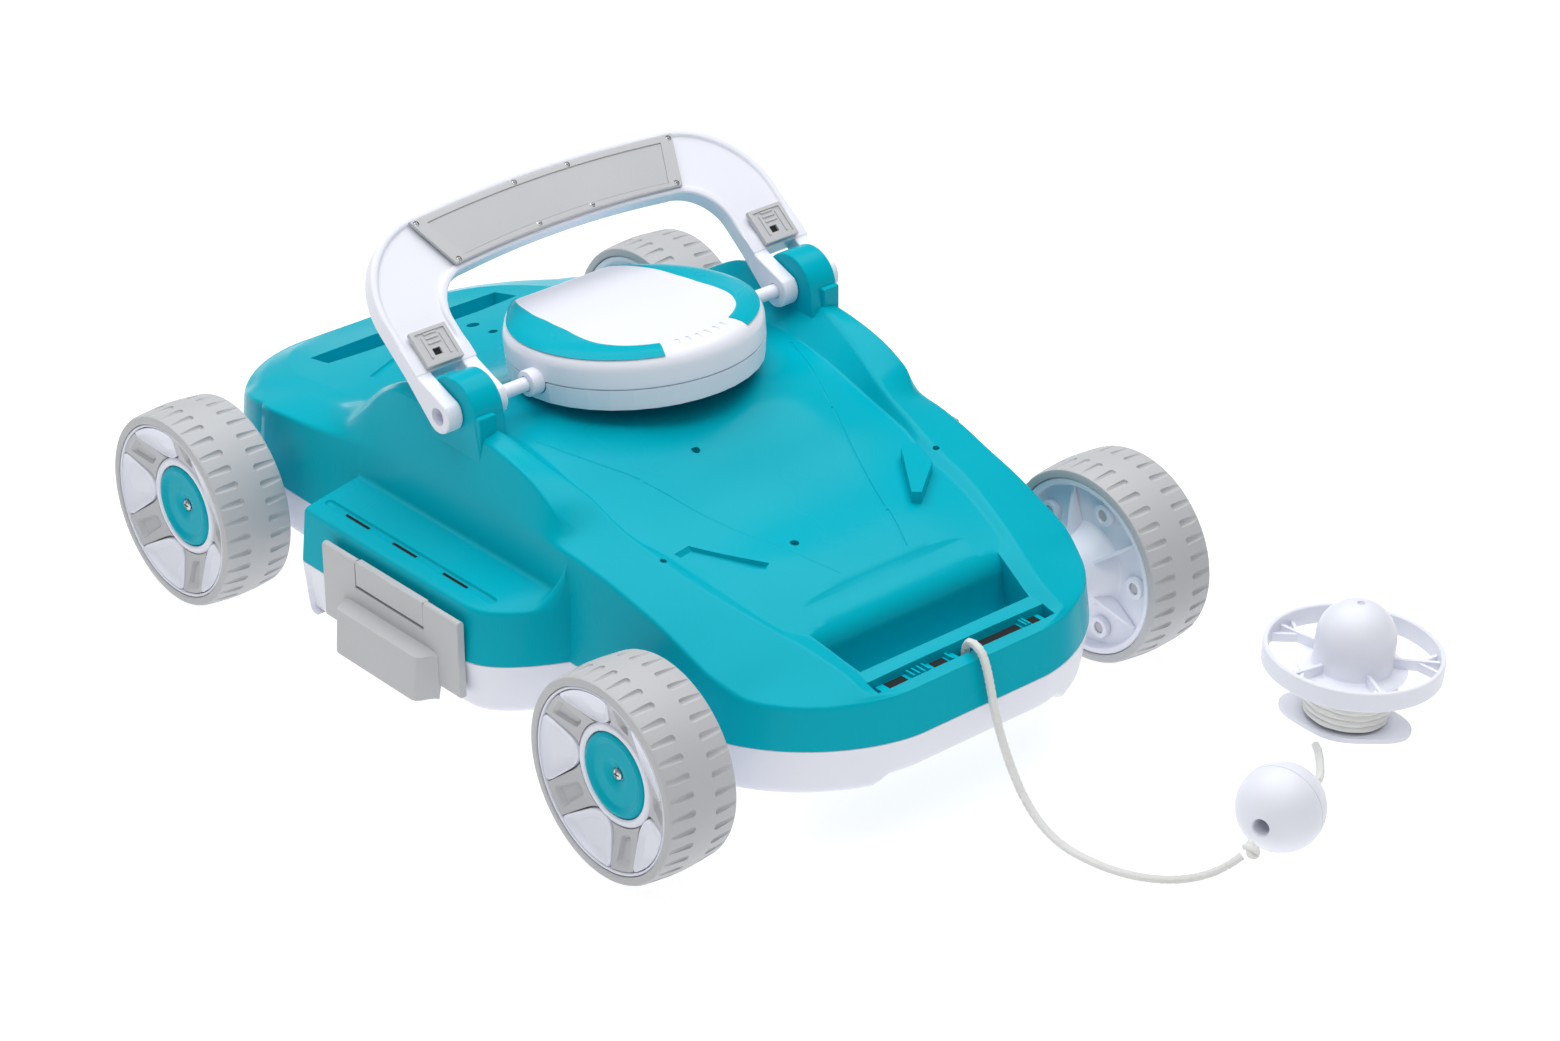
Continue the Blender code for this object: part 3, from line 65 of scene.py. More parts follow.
# ---------------------------------------------------------------- sizes taken from the frame
TYRE_LOW, TYRE_HIGH = (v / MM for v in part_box("tyre_front_right"))
TRAY_LOW, TRAY_HIGH = (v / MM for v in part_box("base_tray"))
WHEEL_R = (TYRE_HIGH.z - TYRE_LOW.z) / 2
WHEEL_X = (TYRE_HIGH.x + TYRE_LOW.x) / 2
WHEEL_Y = -(TYRE_HIGH.y + TYRE_LOW.y) / 2
TYRE_W = TYRE_HIGH.x - TYRE_LOW.x
BODY_HALF = TRAY_HIGH.y
POD_X = TRAY_HIGH.x
JOINTS = {j["name"]: j for j in frame["joints"]}
PIVOT = Vector(JOINTS["handle_swing"]["pos_m"]) / MM
LATCH_PIVOT = Vector(JOINTS["side_latch_right_swing"]["pos_m"]) / MM

# ---------------------------------------------------------------- sizes of the look
PART_Z = 55.0                  # parting line between cover and tray
SEAM = 0.15                    # half of the gap along it
FLANK = 113.5                  # side of the body
POD_END = 76.75
LUG_IN, LUG_OUT, LUG_R = 92.8, 109.8, 16.5
WALL = 3.3                     # of the cover
PIN_BORE = 3.85                # hinge and axle holes, radius
DUCT_BORE = 42.4               # throat for the jet duct, radius
LEAN = math.radians(38.5)      # handle plane above the floor, to the rear
PUCK_TILT = math.radians(5.0)
PUCK_R, PUCK_Y, PUCK_Z = 62.0, 8.0, 137.0
CHIN_Y, CHIN_ANGLE = 57.4, 63.2    # straight rear side of the puck and where its corners are
CHIN_CORNER = CHIN_Y / math.sin(math.radians(CHIN_ANGLE))


# ---------------------------------------------------------------- mesh helpers
def smooth_curve(points, t):
    """Monotone cubic through (t, value) pairs."""
    if t <= points[0][0]:
        return points[0][1]
    if t >= points[-1][0]:
        return points[-1][1]
    i = max(k for k in range(len(points) - 1) if points[k][0] <= t)
    slope = [(b[1] - a[1]) / (b[0] - a[0]) for a, b in zip(points, points[1:])]

    def tangent(k):
        if k == 0 or k == len(points) - 1:
            return slope[0 if k == 0 else -1]
        left, right = slope[k - 1], slope[k]
        return 0.0 if left * right <= 0 else 2 * left * right / (left + right)

    (t0, v0), (t1, v1) = points[i], points[i + 1]
    h = t1 - t0
    u = (t - t0) / h
    return (v0 * (1 + 2 * u) * (1 - u) ** 2 + v1 * u * u * (3 - 2 * u)
            + h * tangent(i) * u * (1 - u) ** 2 - h * tangent(i + 1) * u * u * (1 - u))


def ease(low, high, value):
    """0 below low, 1 above high, smooth between."""
    u = min(1.0, max(0.0, (value - low) / (high - low)))
    return u * u * (3 - 2 * u)


def rounded(points, radii, counts, arc=4):
    """Samples along a polyline with its inner corners rounded; always the same number of them."""
    reach = [0.0]
    for i in range(1, len(points) - 1):
        before = (points[i] - points[i - 1]).length
        after = (points[i + 1] - points[i]).length
        reach.append(min(radii[i - 1], 0.45 * before, 0.45 * after))
    reach.append(0.0)
    out = [points[0].copy()]
    for i in range(1, len(points)):
        a, b = points[i - 1], points[i]
        run = (b - a).normalized()
        start, end = a + run * reach[i - 1], b - run * reach[i]
        out += [start.lerp(end, k / counts[i - 1]) for k in range(1, counts[i - 1] + 1)]
        if i < len(points) - 1:
            leave = b + (points[i + 1] - b).normalized() * reach[i]
            for k in range(1, arc + 1):
                u = k / arc
                out.append(end * (1 - u) ** 2 + b * 2 * u * (1 - u) + leave * u * u)
    return out


def loft(bm, loops, cap=True, ring=True):
    """Skin a list of equal loops; ring closes each loop, cap closes the ends."""
    rows = [[bm.verts.new(p * MM) for p in loop] for loop in loops]
    span = len(rows[0]) if ring else len(rows[0]) - 1
    for a, b in zip(rows, rows[1:]):
        for i in range(span):
            j = (i + 1) % len(a)
            bm.faces.new((a[i], a[j], b[j], b[i]))
    if cap:
        bm.faces.new(rows[0][::-1])
        bm.faces.new(rows[-1])
    return rows


def closed(bm):
    """Merge doubles and turn every face outwards."""
    bmesh.ops.remove_doubles(bm, verts=bm.verts[:], dist=1e-6)
    bmesh.ops.dissolve_degenerate(bm, edges=bm.edges[:], dist=1e-7)
    bmesh.ops.recalc_face_normals(bm, faces=bm.faces[:])
    return bm


def prism(points, axis, low, high):
    """Closed slab from an outline in the plane across axis."""
    def place(u, v, w):
        return Vector({"X": (w, u, v), "Y": (u, w, v), "Z": (u, v, w)}[axis])
    bm = bmesh.new()
    loft(bm, [[place(u, v, low) for u, v in points], [place(u, v, high) for u, v in points]])
    return closed(bm)


def block(low, high, bevel=0.0, segments=3):
    """Box between two corners, its edges rounded where bevel is given."""
    bm = bmesh.new()
    centre, size = (Vector(low) + Vector(high)) / 2 * MM, (Vector(high) - Vector(low)) * MM
    bmesh.ops.create_cube(bm, size=1.0, matrix=Matrix.Translation(centre) @ Matrix.Diagonal((*size, 1)))
    if bevel:
        soften(bm, bevel, segments)
    return bm


def soften(bm, width, segments=3, angle=30.0):
    """Round every edge that turns by more than angle degrees."""
    edges = [e for e in bm.edges if len(e.link_faces) == 2
             and e.calc_face_angle(0.0) > math.radians(angle)]
    bmesh.ops.bevel(bm, geom=edges, offset=width * MM, segments=segments, profile=0.5,
                    affect="EDGES", clamp_overlap=True)
    return bm


def turned(profile, steps, place=None):
    """Closed body turned from (radius, height) points about Z, then placed by a matrix."""
    bm = bmesh.new()
    rings = [[Vector((r * math.cos(a), r * math.sin(a), h))
              for a in (2 * math.pi * k / steps for k in range(steps))] for r, h in profile]
    hollow = profile[0][0] > 0 and profile[-1][0] > 0
    loft(bm, rings + rings[:1] if hollow else rings, cap=False)
    if place is not None:
        scaled = Matrix.Scale(MM, 4) @ place @ Matrix.Scale(1 / MM, 4)
        bmesh.ops.transform(bm, matrix=scaled, verts=bm.verts[:])
    return closed(bm)


def rod(radius, start, end, steps=24, bevel=0.0):
    """Closed round bar between two points, with round edges where bevel is given."""
    start, end = Vector(start), Vector(end)
    length = (end - start).length
    profile = [(0, 0), (radius, 0), (radius, length), (0, length)]
    if bevel:
        profile = [(0, 0), (radius - bevel, 0), (radius - 0.3 * bevel, 0.3 * bevel), (radius, bevel),
                   (radius, length - bevel), (radius - 0.3 * bevel, length - 0.3 * bevel),
                   (radius - bevel, length), (0, length)]
    turn = (end - start).to_track_quat("Z", "Y").to_matrix().to_4x4()
    return turned(profile, steps, Matrix.Translation(start) @ turn)


def moved(bm, matrix):
    """The same body placed by a matrix written in millimetres."""
    scaled = Matrix.Scale(MM, 4) @ matrix @ Matrix.Scale(1 / MM, 4)
    bmesh.ops.transform(bm, matrix=scaled, verts=bm.verts[:])
    if matrix.determinant() < 0:
        bmesh.ops.reverse_faces(bm, faces=bm.faces[:])
    return bm


def joined(*parts):
    """Several closed bodies in one mesh, each still closed."""
    whole = bmesh.new()
    for part in parts:
        mesh = bpy.data.meshes.new("part")
        part.to_mesh(mesh)
        part.free()
        whole.from_mesh(mesh)
        bpy.data.meshes.remove(mesh)
    return whole


def carve(body, tool, operation="DIFFERENCE"):
    """Boolean of two closed bodies, given back as one bmesh. Faces keep their material slots."""
    made = []
    for name, bm in (("body", body), ("tool", tool)):
        mesh = bpy.data.meshes.new(name)
        bm.to_mesh(mesh)
        bm.free()
        ob = bpy.data.objects.new(name, mesh)
        bpy.context.scene.collection.objects.link(ob)
        made.append(ob)
    mod = made[0].modifiers.new("Boolean", "BOOLEAN")
    mod.operation, mod.solver, mod.object = operation, "EXACT", made[1]
    depsgraph = bpy.context.evaluated_depsgraph_get()
    result = bpy.data.meshes.new_from_object(made[0].evaluated_get(depsgraph))
    out = bmesh.new()
    out.from_mesh(result)
    for ob in made:
        mesh = ob.data
        bpy.data.objects.remove(ob)
        bpy.data.meshes.remove(mesh)
    bpy.data.meshes.remove(result)
    return out


def piece(name, bm, mats, body, replaces=(), sharp=34.0):
    """Turn a bmesh into a finished piece that rides on a body of the frame."""
    mesh = bpy.data.meshes.new(name)
    bm.to_mesh(mesh)
    bm.free()
    for mat in mats if isinstance(mats, (list, tuple)) else (mats,):
        mesh.materials.append(mat)
    mesh.shade_smooth()
    mesh.set_sharp_from_angle(angle=math.radians(sharp))
    ob = bpy.data.objects.new(name, mesh)
    bpy.context.scene.collection.objects.link(ob)
    # flat faces keep their own normal, so that a narrow rounding beside them reads as an edge
    weighted = ob.modifiers.new("flat_faces", "WEIGHTED_NORMAL")
    weighted.keep_sharp = True
    ob.data = bpy.data.meshes.new_from_object(ob.evaluated_get(bpy.context.evaluated_depsgraph_get()))
    ob.modifiers.clear()
    bpy.data.meshes.remove(mesh)
    ob.data.name = name
    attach(ob, body)
    if replaces:
        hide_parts(*replaces)
    return ob


def scatter_tree():
    """Node group that sets one shape on every point, facing along the point's own direction."""
    tree = bpy.data.node_groups.new("Set on points", "GeometryNodeTree")
    for name, kind, way in (("Geometry", "NodeSocketGeometry", "INPUT"),
                            ("Shape", "NodeSocketObject", "INPUT"),
                            ("Size", "NodeSocketFloat", "INPUT"),
                            ("Finish", "NodeSocketMaterial", "INPUT"),
                            ("Geometry", "NodeSocketGeometry", "OUTPUT")):
        socket = tree.interface.new_socket(name=name, in_out=way, socket_type=kind)
        if name == "Size":
            socket.default_value = 1.0
    entry = add_node(tree, "NodeGroupInput")
    facing = add_node(tree, "GeometryNodeInputNamedAttribute", data_type="FLOAT_VECTOR",
                      inputs={"Name": "facing"})
    turn = add_node(tree, "FunctionNodeAlignRotationToVector", axis="Z",
                    inputs={"Vector": facing.outputs["Attribute"]})
    shape = add_node(tree, "GeometryNodeObjectInfo", inputs={"Object": entry.outputs["Shape"]})
    put = add_node(tree, "GeometryNodeInstanceOnPoints",
                   inputs={"Points": entry.outputs["Geometry"], "Instance": shape.outputs["Geometry"],
                           "Rotation": turn.outputs["Rotation"], "Scale": entry.outputs["Size"]})
    real = add_node(tree, "GeometryNodeRealizeInstances", inputs={"Geometry": put.outputs["Instances"]})
    finish = add_node(tree, "GeometryNodeSetMaterial",
                      inputs={"Geometry": real.outputs["Geometry"], "Material": entry.outputs["Finish"]})
    add_node(tree, "NodeGroupOutput", inputs={"Geometry": finish.outputs["Geometry"]})
    return tree


def scatter(name, shape_bm, places, mat, body, size=1.0):
    """Copies of one small shape on (position, direction) places, made one plain mesh."""
    tree = bpy.data.node_groups.get("Set on points") or scatter_tree()
    shape_mesh = bpy.data.meshes.new(name + "_shape")
    shape_bm.to_mesh(shape_mesh)
    shape_bm.free()
    shape = bpy.data.objects.new(name + "_shape", shape_mesh)
    points = bpy.data.meshes.new(name + "_points")
    points.from_pydata([Vector(p) * MM for p, _ in places], [], [])
    facing = points.attributes.new("facing", "FLOAT_VECTOR", "POINT")
    for k, (_, direction) in enumerate(places):
        facing.data[k].vector = Vector(direction)
    carrier = bpy.data.objects.new(name + "_points", points)
    for ob in (shape, carrier):
        bpy.context.scene.collection.objects.link(ob)
    mod = carrier.modifiers.new("Set", "NODES")
    mod.node_group = tree
    sockets = {s.name: s.identifier for s in tree.interface.items_tree if s.in_out == "INPUT"}
    mod[sockets["Shape"]] = shape
    mod[sockets["Size"]] = size
    mod[sockets["Finish"]] = mat
    depsgraph = bpy.context.evaluated_depsgraph_get()
    mesh = bpy.data.meshes.new_from_object(carrier.evaluated_get(depsgraph))
    bm = bmesh.new()
    bm.from_mesh(mesh)
    bpy.data.meshes.remove(mesh)
    for ob in (shape, carrier):
        old = ob.data
        bpy.data.objects.remove(ob)
        bpy.data.meshes.remove(old)
    return piece(name, bm, mat, body)


# ---------------------------------------------------------------- materials
def linear(code):
    """sRGB hex to the linear colour that shaders take."""
    rgb = [int(code[i:i + 2], 16) / 255 for i in (1, 3, 5)]
    return (*[c / 12.92 if c <= 0.04045 else ((c + 0.055) / 1.055) ** 2.4 for c in rgb], 1.0)


def add_node(tree, kind, inputs=None, **settings):
    """One node with its settings; inputs are values or sockets to link from."""
    node = tree.nodes.new(kind)
    for key, value in settings.items():
        setattr(node, key, value)
    for key, value in (inputs or {}).items():
        socket = node.inputs[key]
        if isinstance(value, bpy.types.NodeSocket):
            tree.links.new(value, socket)
        else:
            socket.default_value = value
    return node


def plain(name, roughness, metallic=0.0, specular=0.5):
    """A material with its node tree and shader, ready for colour and bump."""
    mat = bpy.data.materials.new(name)
    mat.use_nodes = True
    shader = mat.node_tree.nodes["Principled BSDF"]
    shader.inputs["Roughness"].default_value = roughness
    shader.inputs["Metallic"].default_value = metallic
    shader.inputs["Specular IOR Level"].default_value = specular
    return mat, mat.node_tree, shader


def moulded(name, code, shade, roughness, grain_mm, depth_mm, spread=0.06, specular=0.4):
    """Injection-moulded plastic: even colour, slight cloud in it, and the tool's fine grain."""
    mat, tree, shader = plain(name, roughness, specular=specular)
    where = add_node(tree, "ShaderNodeTexCoord").outputs["Object"]
    cloud = add_node(tree, "ShaderNodeTexNoise", inputs={"Vector": where, "Scale": 14.0, "Detail": 3.0})
    tone = add_node(tree, "ShaderNodeMix", data_type="RGBA", inputs={0: cloud.outputs["Fac"]})
    tone.inputs[6].default_value = linear(code)
    tone.inputs[7].default_value = linear(shade)
    tree.links.new(tone.outputs[2], shader.inputs["Base Color"])
    grain = add_node(tree, "ShaderNodeTexNoise",
                     inputs={"Vector": where, "Scale": 1000.0 / grain_mm, "Detail": 2.0})
    rough = add_node(tree, "ShaderNodeMapRange", inputs={"Value": cloud.outputs["Fac"], "From Min": 0.3,
                     "From Max": 0.7, "To Min": roughness - spread, "To Max": roughness + spread})
    tree.links.new(rough.outputs["Result"], shader.inputs["Roughness"])
    bump = add_node(tree, "ShaderNodeBump", inputs={"Strength": 0.5, "Distance": depth_mm * MM,
                    "Height": grain.outputs["Fac"]})
    tree.links.new(bump.outputs["Normal"], shader.inputs["Normal"])
    return mat


def brushed_steel(name):
    """Stainless steel, turned or drawn: fine lines round its axis."""
    mat, tree, shader = plain(name, 0.32, 1.0)
    shader.inputs["Base Color"].default_value = linear("#C9CACC")
    where = add_node(tree, "ShaderNodeTexCoord").outputs["Object"]
    lines = add_node(tree, "ShaderNodeTexNoise", inputs={"Vector": where, "Scale": 900.0, "Detail": 1.0})
    bump = add_node(tree, "ShaderNodeBump", inputs={"Strength": 0.25, "Distance": 0.05 * MM,
                    "Height": lines.outputs["Fac"]})
    tree.links.new(bump.outputs["Normal"], shader.inputs["Normal"])
    return mat


def braid(name):
    """Braided polypropylene cord: the strands are in the mesh, the yarns' fine lines are here."""
    mat, tree, shader = plain(name, 0.62)
    shader.inputs["Sheen Weight"].default_value = 0.3
    where = add_node(tree, "ShaderNodeUVMap", uv_map="along")
    yarn = add_node(tree, "ShaderNodeTexWave", wave_type="BANDS", bands_direction="DIAGONAL",
                    inputs={"Vector": where.outputs["UV"], "Scale": 3.0, "Distortion": 0.6})
    tone = add_node(tree, "ShaderNodeMix", data_type="RGBA", inputs={0: yarn.outputs["Fac"]})
    tone.inputs[6].default_value = linear("#E9EAE7")
    tone.inputs[7].default_value = linear("#FBFBF9")
    tree.links.new(tone.outputs[2], shader.inputs["Base Color"])
    bump = add_node(tree, "ShaderNodeBump", inputs={"Strength": 0.5, "Distance": 0.15 * MM,
                    "Height": yarn.outputs["Fac"]})
    tree.links.new(bump.outputs["Normal"], shader.inputs["Normal"])
    return mat


def woven_mesh(name):
    """Nylon filter mesh: threads 1 mm apart, coarser than the real weave so that it shows."""
    mat, tree, shader = plain(name, 0.6)
    where = add_node(tree, "ShaderNodeTexCoord").outputs["Object"]
    heights = []
    for direction in ("X", "Y"):
        wave = add_node(tree, "ShaderNodeTexWave", bands_direction=direction,
                        inputs={"Vector": where, "Scale": 314.0 / 2})
        heights.append(wave.outputs["Fac"])
    both = add_node(tree, "ShaderNodeMath", operation="MAXIMUM", inputs={0: heights[0], 1: heights[1]})
    tone = add_node(tree, "ShaderNodeMix", data_type="RGBA", inputs={0: both.outputs[0]})
    tone.inputs[6].default_value = linear("#8E9499")
    tone.inputs[7].default_value = linear("#E6E9EC")
    tree.links.new(tone.outputs[2], shader.inputs["Base Color"])
    return mat


MATERIALS = {}


def make_materials(colours):
    """The finishes, each named for the real material, apart from the dark one that paints shade and small dark
    marks.
    """
    MATERIALS.update({
        # glossy ABS shows broad soft highlights along its rolled edges
        "teal": moulded("teal_abs_moulded", hexed(colours.teal), "#00ABBF", 0.24, 1.2, 0.012, specular=0.07),
        # white ABS is slightly blue and a little less glossy
        "white": moulded("white_abs_moulded", hexed(colours.white), "#EAECF6", 0.34, 1.0, 0.010),
        # talc-filled polypropylene: dull, warm grey
        "grey": moulded("grey_polypropylene_moulded", hexed(colours.grey), "#BFC0C3", 0.46, 0.8, 0.02),
        # TPE tread: dull with a coarse grain
        "tread": moulded("grey_rubber_tread", "#C2C3C6", "#B9BABD", 0.52, 0.7, 0.03),
        # EPDM rubber for seals and flaps
        "rubber": moulded("black_epdm_rubber", "#24272A", "#1C1F22", 0.62, 0.6, 0.03),
        # spark-eroded field on the grip
        "field": moulded("grey_polypropylene_textured", "#C4C6C9", "#B9BBBE", 0.60, 0.55, 0.10),
        # painted shade for the rope slot's openings and the pod slits; on the slide keys it is the dark mark
        # in their small well
        "dark": moulded("painted_shade_and_dark_mark", "#10181A", "#0B1113", 0.8, 1.0, 0.01),
        "steel": brushed_steel("stainless_steel_turned"),
        "rope": braid("white_polypropylene_braid"),
        "mesh": woven_mesh("nylon_filter_mesh"),
    })


def hexed(colour):
    return "#" + "".join("%02X" % round(255 * c) for c in colour)


# ---------------------------------------------------------------- stage and camera
def build_stage(props):
    """White floor sheet, soft studio light and the camera."""
    cam_data = bpy.data.cameras.new("Camera")
    cam_data.lens, cam_data.sensor_width = 99.51, 36.0
    cam_data.clip_end = 20.0
    cam = bpy.data.objects.new("Camera", cam_data)
    bpy.context.scene.collection.objects.link(cam)
    yaw, pitch, roll = math.radians(40.784), math.radians(28.294), math.radians(-0.318)
    ahead = Vector((math.sin(yaw) * math.cos(pitch), math.cos(yaw) * math.cos(pitch), -math.sin(pitch)))
    level = Vector((math.cos(yaw), -math.sin(yaw), 0))
    above = level.cross(ahead)
    right = level * math.cos(roll) + above * math.sin(roll)
    up = above * math.cos(roll) - level * math.sin(roll)
    turn = Matrix((right, up, -ahead)).transposed().to_4x4()
    cam.matrix_world = Matrix.Translation(Vector((-1144.19, -1422.08, 1034.85)) * MM) @ turn
    bpy.context.scene.camera = cam

    mat, tree, shader = plain("white_studio_floor", 0.9)
    shader.inputs["Base Color"].default_value = (0.32, 0.32, 0.32, 1.0)
    shader.inputs["Emission Color"].default_value = (1.0, 1.0, 1.0, 1.0)
    shader.inputs["Emission Strength"].default_value = props.floor_glow
    floor = bpy.data.meshes.new("floor")
    reach = 12.0
    floor.from_pydata([(-reach, -reach, 0), (reach, -reach, 0), (reach, reach, 0), (-reach, reach, 0)],
                      [], [(0, 1, 2, 3)])
    floor.materials.append(mat)
    sheet = bpy.data.objects.new("floor", floor)
    bpy.context.scene.collection.objects.link(sheet)

    world = bpy.data.worlds.new("Studio")
    world.use_nodes = True
    sky = world.node_tree.nodes["Background"]
    sky.inputs["Color"].default_value = (1.0, 1.0, 1.0, 1.0)
    sky.inputs["Strength"].default_value = props.fill
    bpy.context.scene.world = world
    bpy.context.scene.view_settings.view_transform = "Standard"
    lamps = (("key", (-0.9, -1.5, 1.9), 0.9, props.key), ("side", (-1.1, 1.7, 1.3), 0.3, props.side),
             ("top", (0.2, 0.3, 2.6), 3.4, props.top))
    for name, place, size, power in lamps:
        data = bpy.data.lights.new(name, "AREA")
        data.size, data.energy = size, power
        lamp = bpy.data.objects.new(name, data)
        lamp.location = place
        aim = Vector((0.0, 0.0, 0.08)) - Vector(place)
        lamp.rotation_euler = aim.to_track_quat("-Z", "Y").to_euler()
        bpy.context.scene.collection.objects.link(lamp)


# ---------------------------------------------------------------- rope, ball, reel
ROPE_D = 4.0
ROPE_LEAD = ((2, -219, 60), (2, -219, 70), (2, -219.3, 76.8), (2, -221.4, 80.4), (2, -225, 80.9),
             (2, -229.6, 78.4), (2, -232.8, 72.5), (2, -235.4, 64.5), (2, -238.4, 54), (2, -243, 42),
             (2, -249.5, 29.5), (2.1, -257.6, 18), (2.3, -268.5, 8.6), (2.8, -282, 3.3),
             (3.9, -297, 2.2), (7, -312, 2.1), (13.5, -325.5, 2.1), (23, -335.5, 2.3),
             (33.5, -342, 3.6), (41.4, -346.7, 7.4), (46.6, -349.8, 11.4))
ROPE_LINK = ((99.6, -336.9, 20.6), (105, -335, 18.6), (113, -331.5, 14), (122, -325.5, 8.6),
             (132, -317.5, 4.6), (141, -309, 2.6), (148, -301.5, 2.1), (151, -297, 2.1))
BALL_AT = Vector((77.6, -343.2, 20.5))
BALL_TURN = math.radians(17)
REEL_AT, REEL_TURN, REEL_TILT = (177.0, -291.0), math.radians(-64), math.radians(4)
REEL_R, REEL_GAP, FLANGE_T, FLANGE_LONG = 42.4, 25.0, 3.0, 32.0


def spline_points(points, spacing):
    """Catmull-Rom samples through given points, at an even spacing."""
    pts = [Vector(p) for p in points]
    pts = [pts[0] * 2 - pts[1]] + pts + [pts[-1] * 2 - pts[-2]]
    fine = []
    for a, b, c, d in zip(pts, pts[1:], pts[2:], pts[3:]):
        for k in range(12):
            u = k / 12
            fine.append(0.5 * (2 * b + (c - a) * u + (2 * a - 5 * b + 4 * c - d) * u * u
                               + (3 * b - a - 3 * c + d) * u ** 3))
    fine.append(pts[-2])
    total = sum((q - p).length for p, q in zip(fine, fine[1:]))
    count = max(2, round(total / spacing))
    step = total / count
    even, run, target = [fine[0]], 0.0, step
    for p, q in zip(fine, fine[1:]):
        length = (q - p).length
        while run + length >= target - 1e-9 and len(even) < count:
            even.append(p.lerp(q, (target - run) / length))
            target += step
        run += length
    even.append(fine[-1])
    return even, total


def braided_tube(points, radius, strands=12, pitch=13.0, relief=0.34, sides=32):
    """Closed tube whose surface is lifted where the strands of a braid cross over."""
    bm = bmesh.new()
    uv = bm.loops.layers.uv.new("along")
    side = Vector((1, 0, 0))
    rows, run = [], 0.0
    for i, p in enumerate(points):
        ahead = (points[min(i + 1, len(points) - 1)] - points[max(i - 1, 0)]).normalized()
        side = (side - ahead * side.dot(ahead)).normalized()
        other = ahead.cross(side)
        run += (p - points[i - 1]).length if i else 0.0
        ring = []
        for k in range(sides):
            a = 2 * math.pi * k / sides
            turn = run / pitch * 2 * math.pi
            over = math.sin((a + turn) * strands / 4) * math.sin((a - turn) * strands / 4)
            r = radius - relief + relief * (0.5 + 0.5 * over) + relief * 0.5 * math.cos(
                (a + turn) * strands / 2) * math.cos((a - turn) * strands / 2)
            ring.append((bm.verts.new((p + side * r * math.cos(a) + other * r * math.sin(a)) * MM),
                         (a, run)))
        rows.append(ring)
    for a, b in zip(rows, rows[1:]):
        for k in range(sides):
            j = (k + 1) % sides
            face = bm.faces.new((a[k][0], a[j][0], b[j][0], b[k][0]))
            for loop, (angle, length) in zip(face.loops, (a[k][1], a[j][1], b[j][1], b[k][1])):
                wrapped = angle + (2 * math.pi if j == 0 and angle == 0 else 0)
                loop[uv].uv = (wrapped * radius, length)
    bm.faces.new([v for v, _ in rows[0]][::-1])
    bm.faces.new([v for v, _ in rows[-1]])
    bmesh.ops.recalc_face_normals(bm, faces=bm.faces[:])
    return bm


def reel_place():
    """The reel leans a little on the rope under its flange."""
    turn = Matrix.Rotation(REEL_TURN, 4, "Z")
    lean = Matrix.Rotation(REEL_TILT, 4, "Y")
    view = Matrix.Rotation(math.radians(-41), 4, "Z")
    rise = FLANGE_LONG * math.sin(REEL_TILT) + 0.2
    return Matrix.Translation((*REEL_AT, rise)) @ view @ lean @ view.inverted() @ turn


def build_rope(props):
    """Braided pull rope, its knot, the float ball, the reel and the turns wound on it."""
    m = MATERIALS
    lead_path, lead_length = spline_points(ROPE_LEAD, 0.8)
    link_path, link_length = spline_points(ROPE_LINK, 0.8)
    radius = props.rope_diameter / MM / 2
    lead = piece("pull_rope_lead", braided_tube(lead_path, radius), m["rope"], "chassis",
                 ("rope_lead",), 60)
    link = piece("pull_rope_link", braided_tube(link_path, radius), m["rope"], "chassis",
                 ("rope_link",), 60)

    away = (lead_path[-1] - lead_path[-2]).normalized()
    centre = lead_path[-1] + away * 4.9
    loop = []
    for k in range(121):
        a = 2 * math.pi * 2 * k / 120
        r = 2.3 + 0.55 * math.cos(1.5 * a)
        loop.append(Vector((r * math.cos(a), r * math.sin(a), 1.35 * math.sin(1.5 * a))))
    spin = away.to_track_quat("Z", "Y").to_matrix()
    knot = braided_tube([centre + spin @ p * 1.08 for p in loop], 1.55, relief=0.12, sides=20)
    knot_ob = piece("pull_rope_knot", knot, m["rope"], "chassis", ("rope_knot",), 60)

    along = Vector((math.cos(BALL_TURN), math.sin(BALL_TURN), 0))
    size = 20.4
    bore = 3.9
    profile = []
    for k in range(33):
        a = -math.pi / 2 + math.pi * k / 32
        r, h = size * math.cos(a), size * math.sin(a)
        if r > bore + 1.4:
            profile.append((r, h))
    edge = profile[0][1]
    lip = [(bore + 0.9, edge - 0.5), (bore + 0.25, edge - 0.25), (bore, edge + 0.6)]
    profile = lip[::-1] + profile + [(r, -h) for r, h in lip]
    turn = along.to_track_quat("Z", "Y").to_matrix().to_4x4()
    ball = turned(profile, 96, Matrix.Translation(BALL_AT) @ turn)
    seam = turned([(size - 0.25, -0.25), (size + 0.4, -0.25), (size + 0.4, 0.25), (size - 0.25, 0.25)],
                  96, Matrix.Translation(BALL_AT) @ turn)
    ball_ob = piece("pull_rope_float", carve(ball, seam), m["white"], "chassis",
                    ("float_ball",), 30)

    reel_ob, coil_ob = build_reel(m)


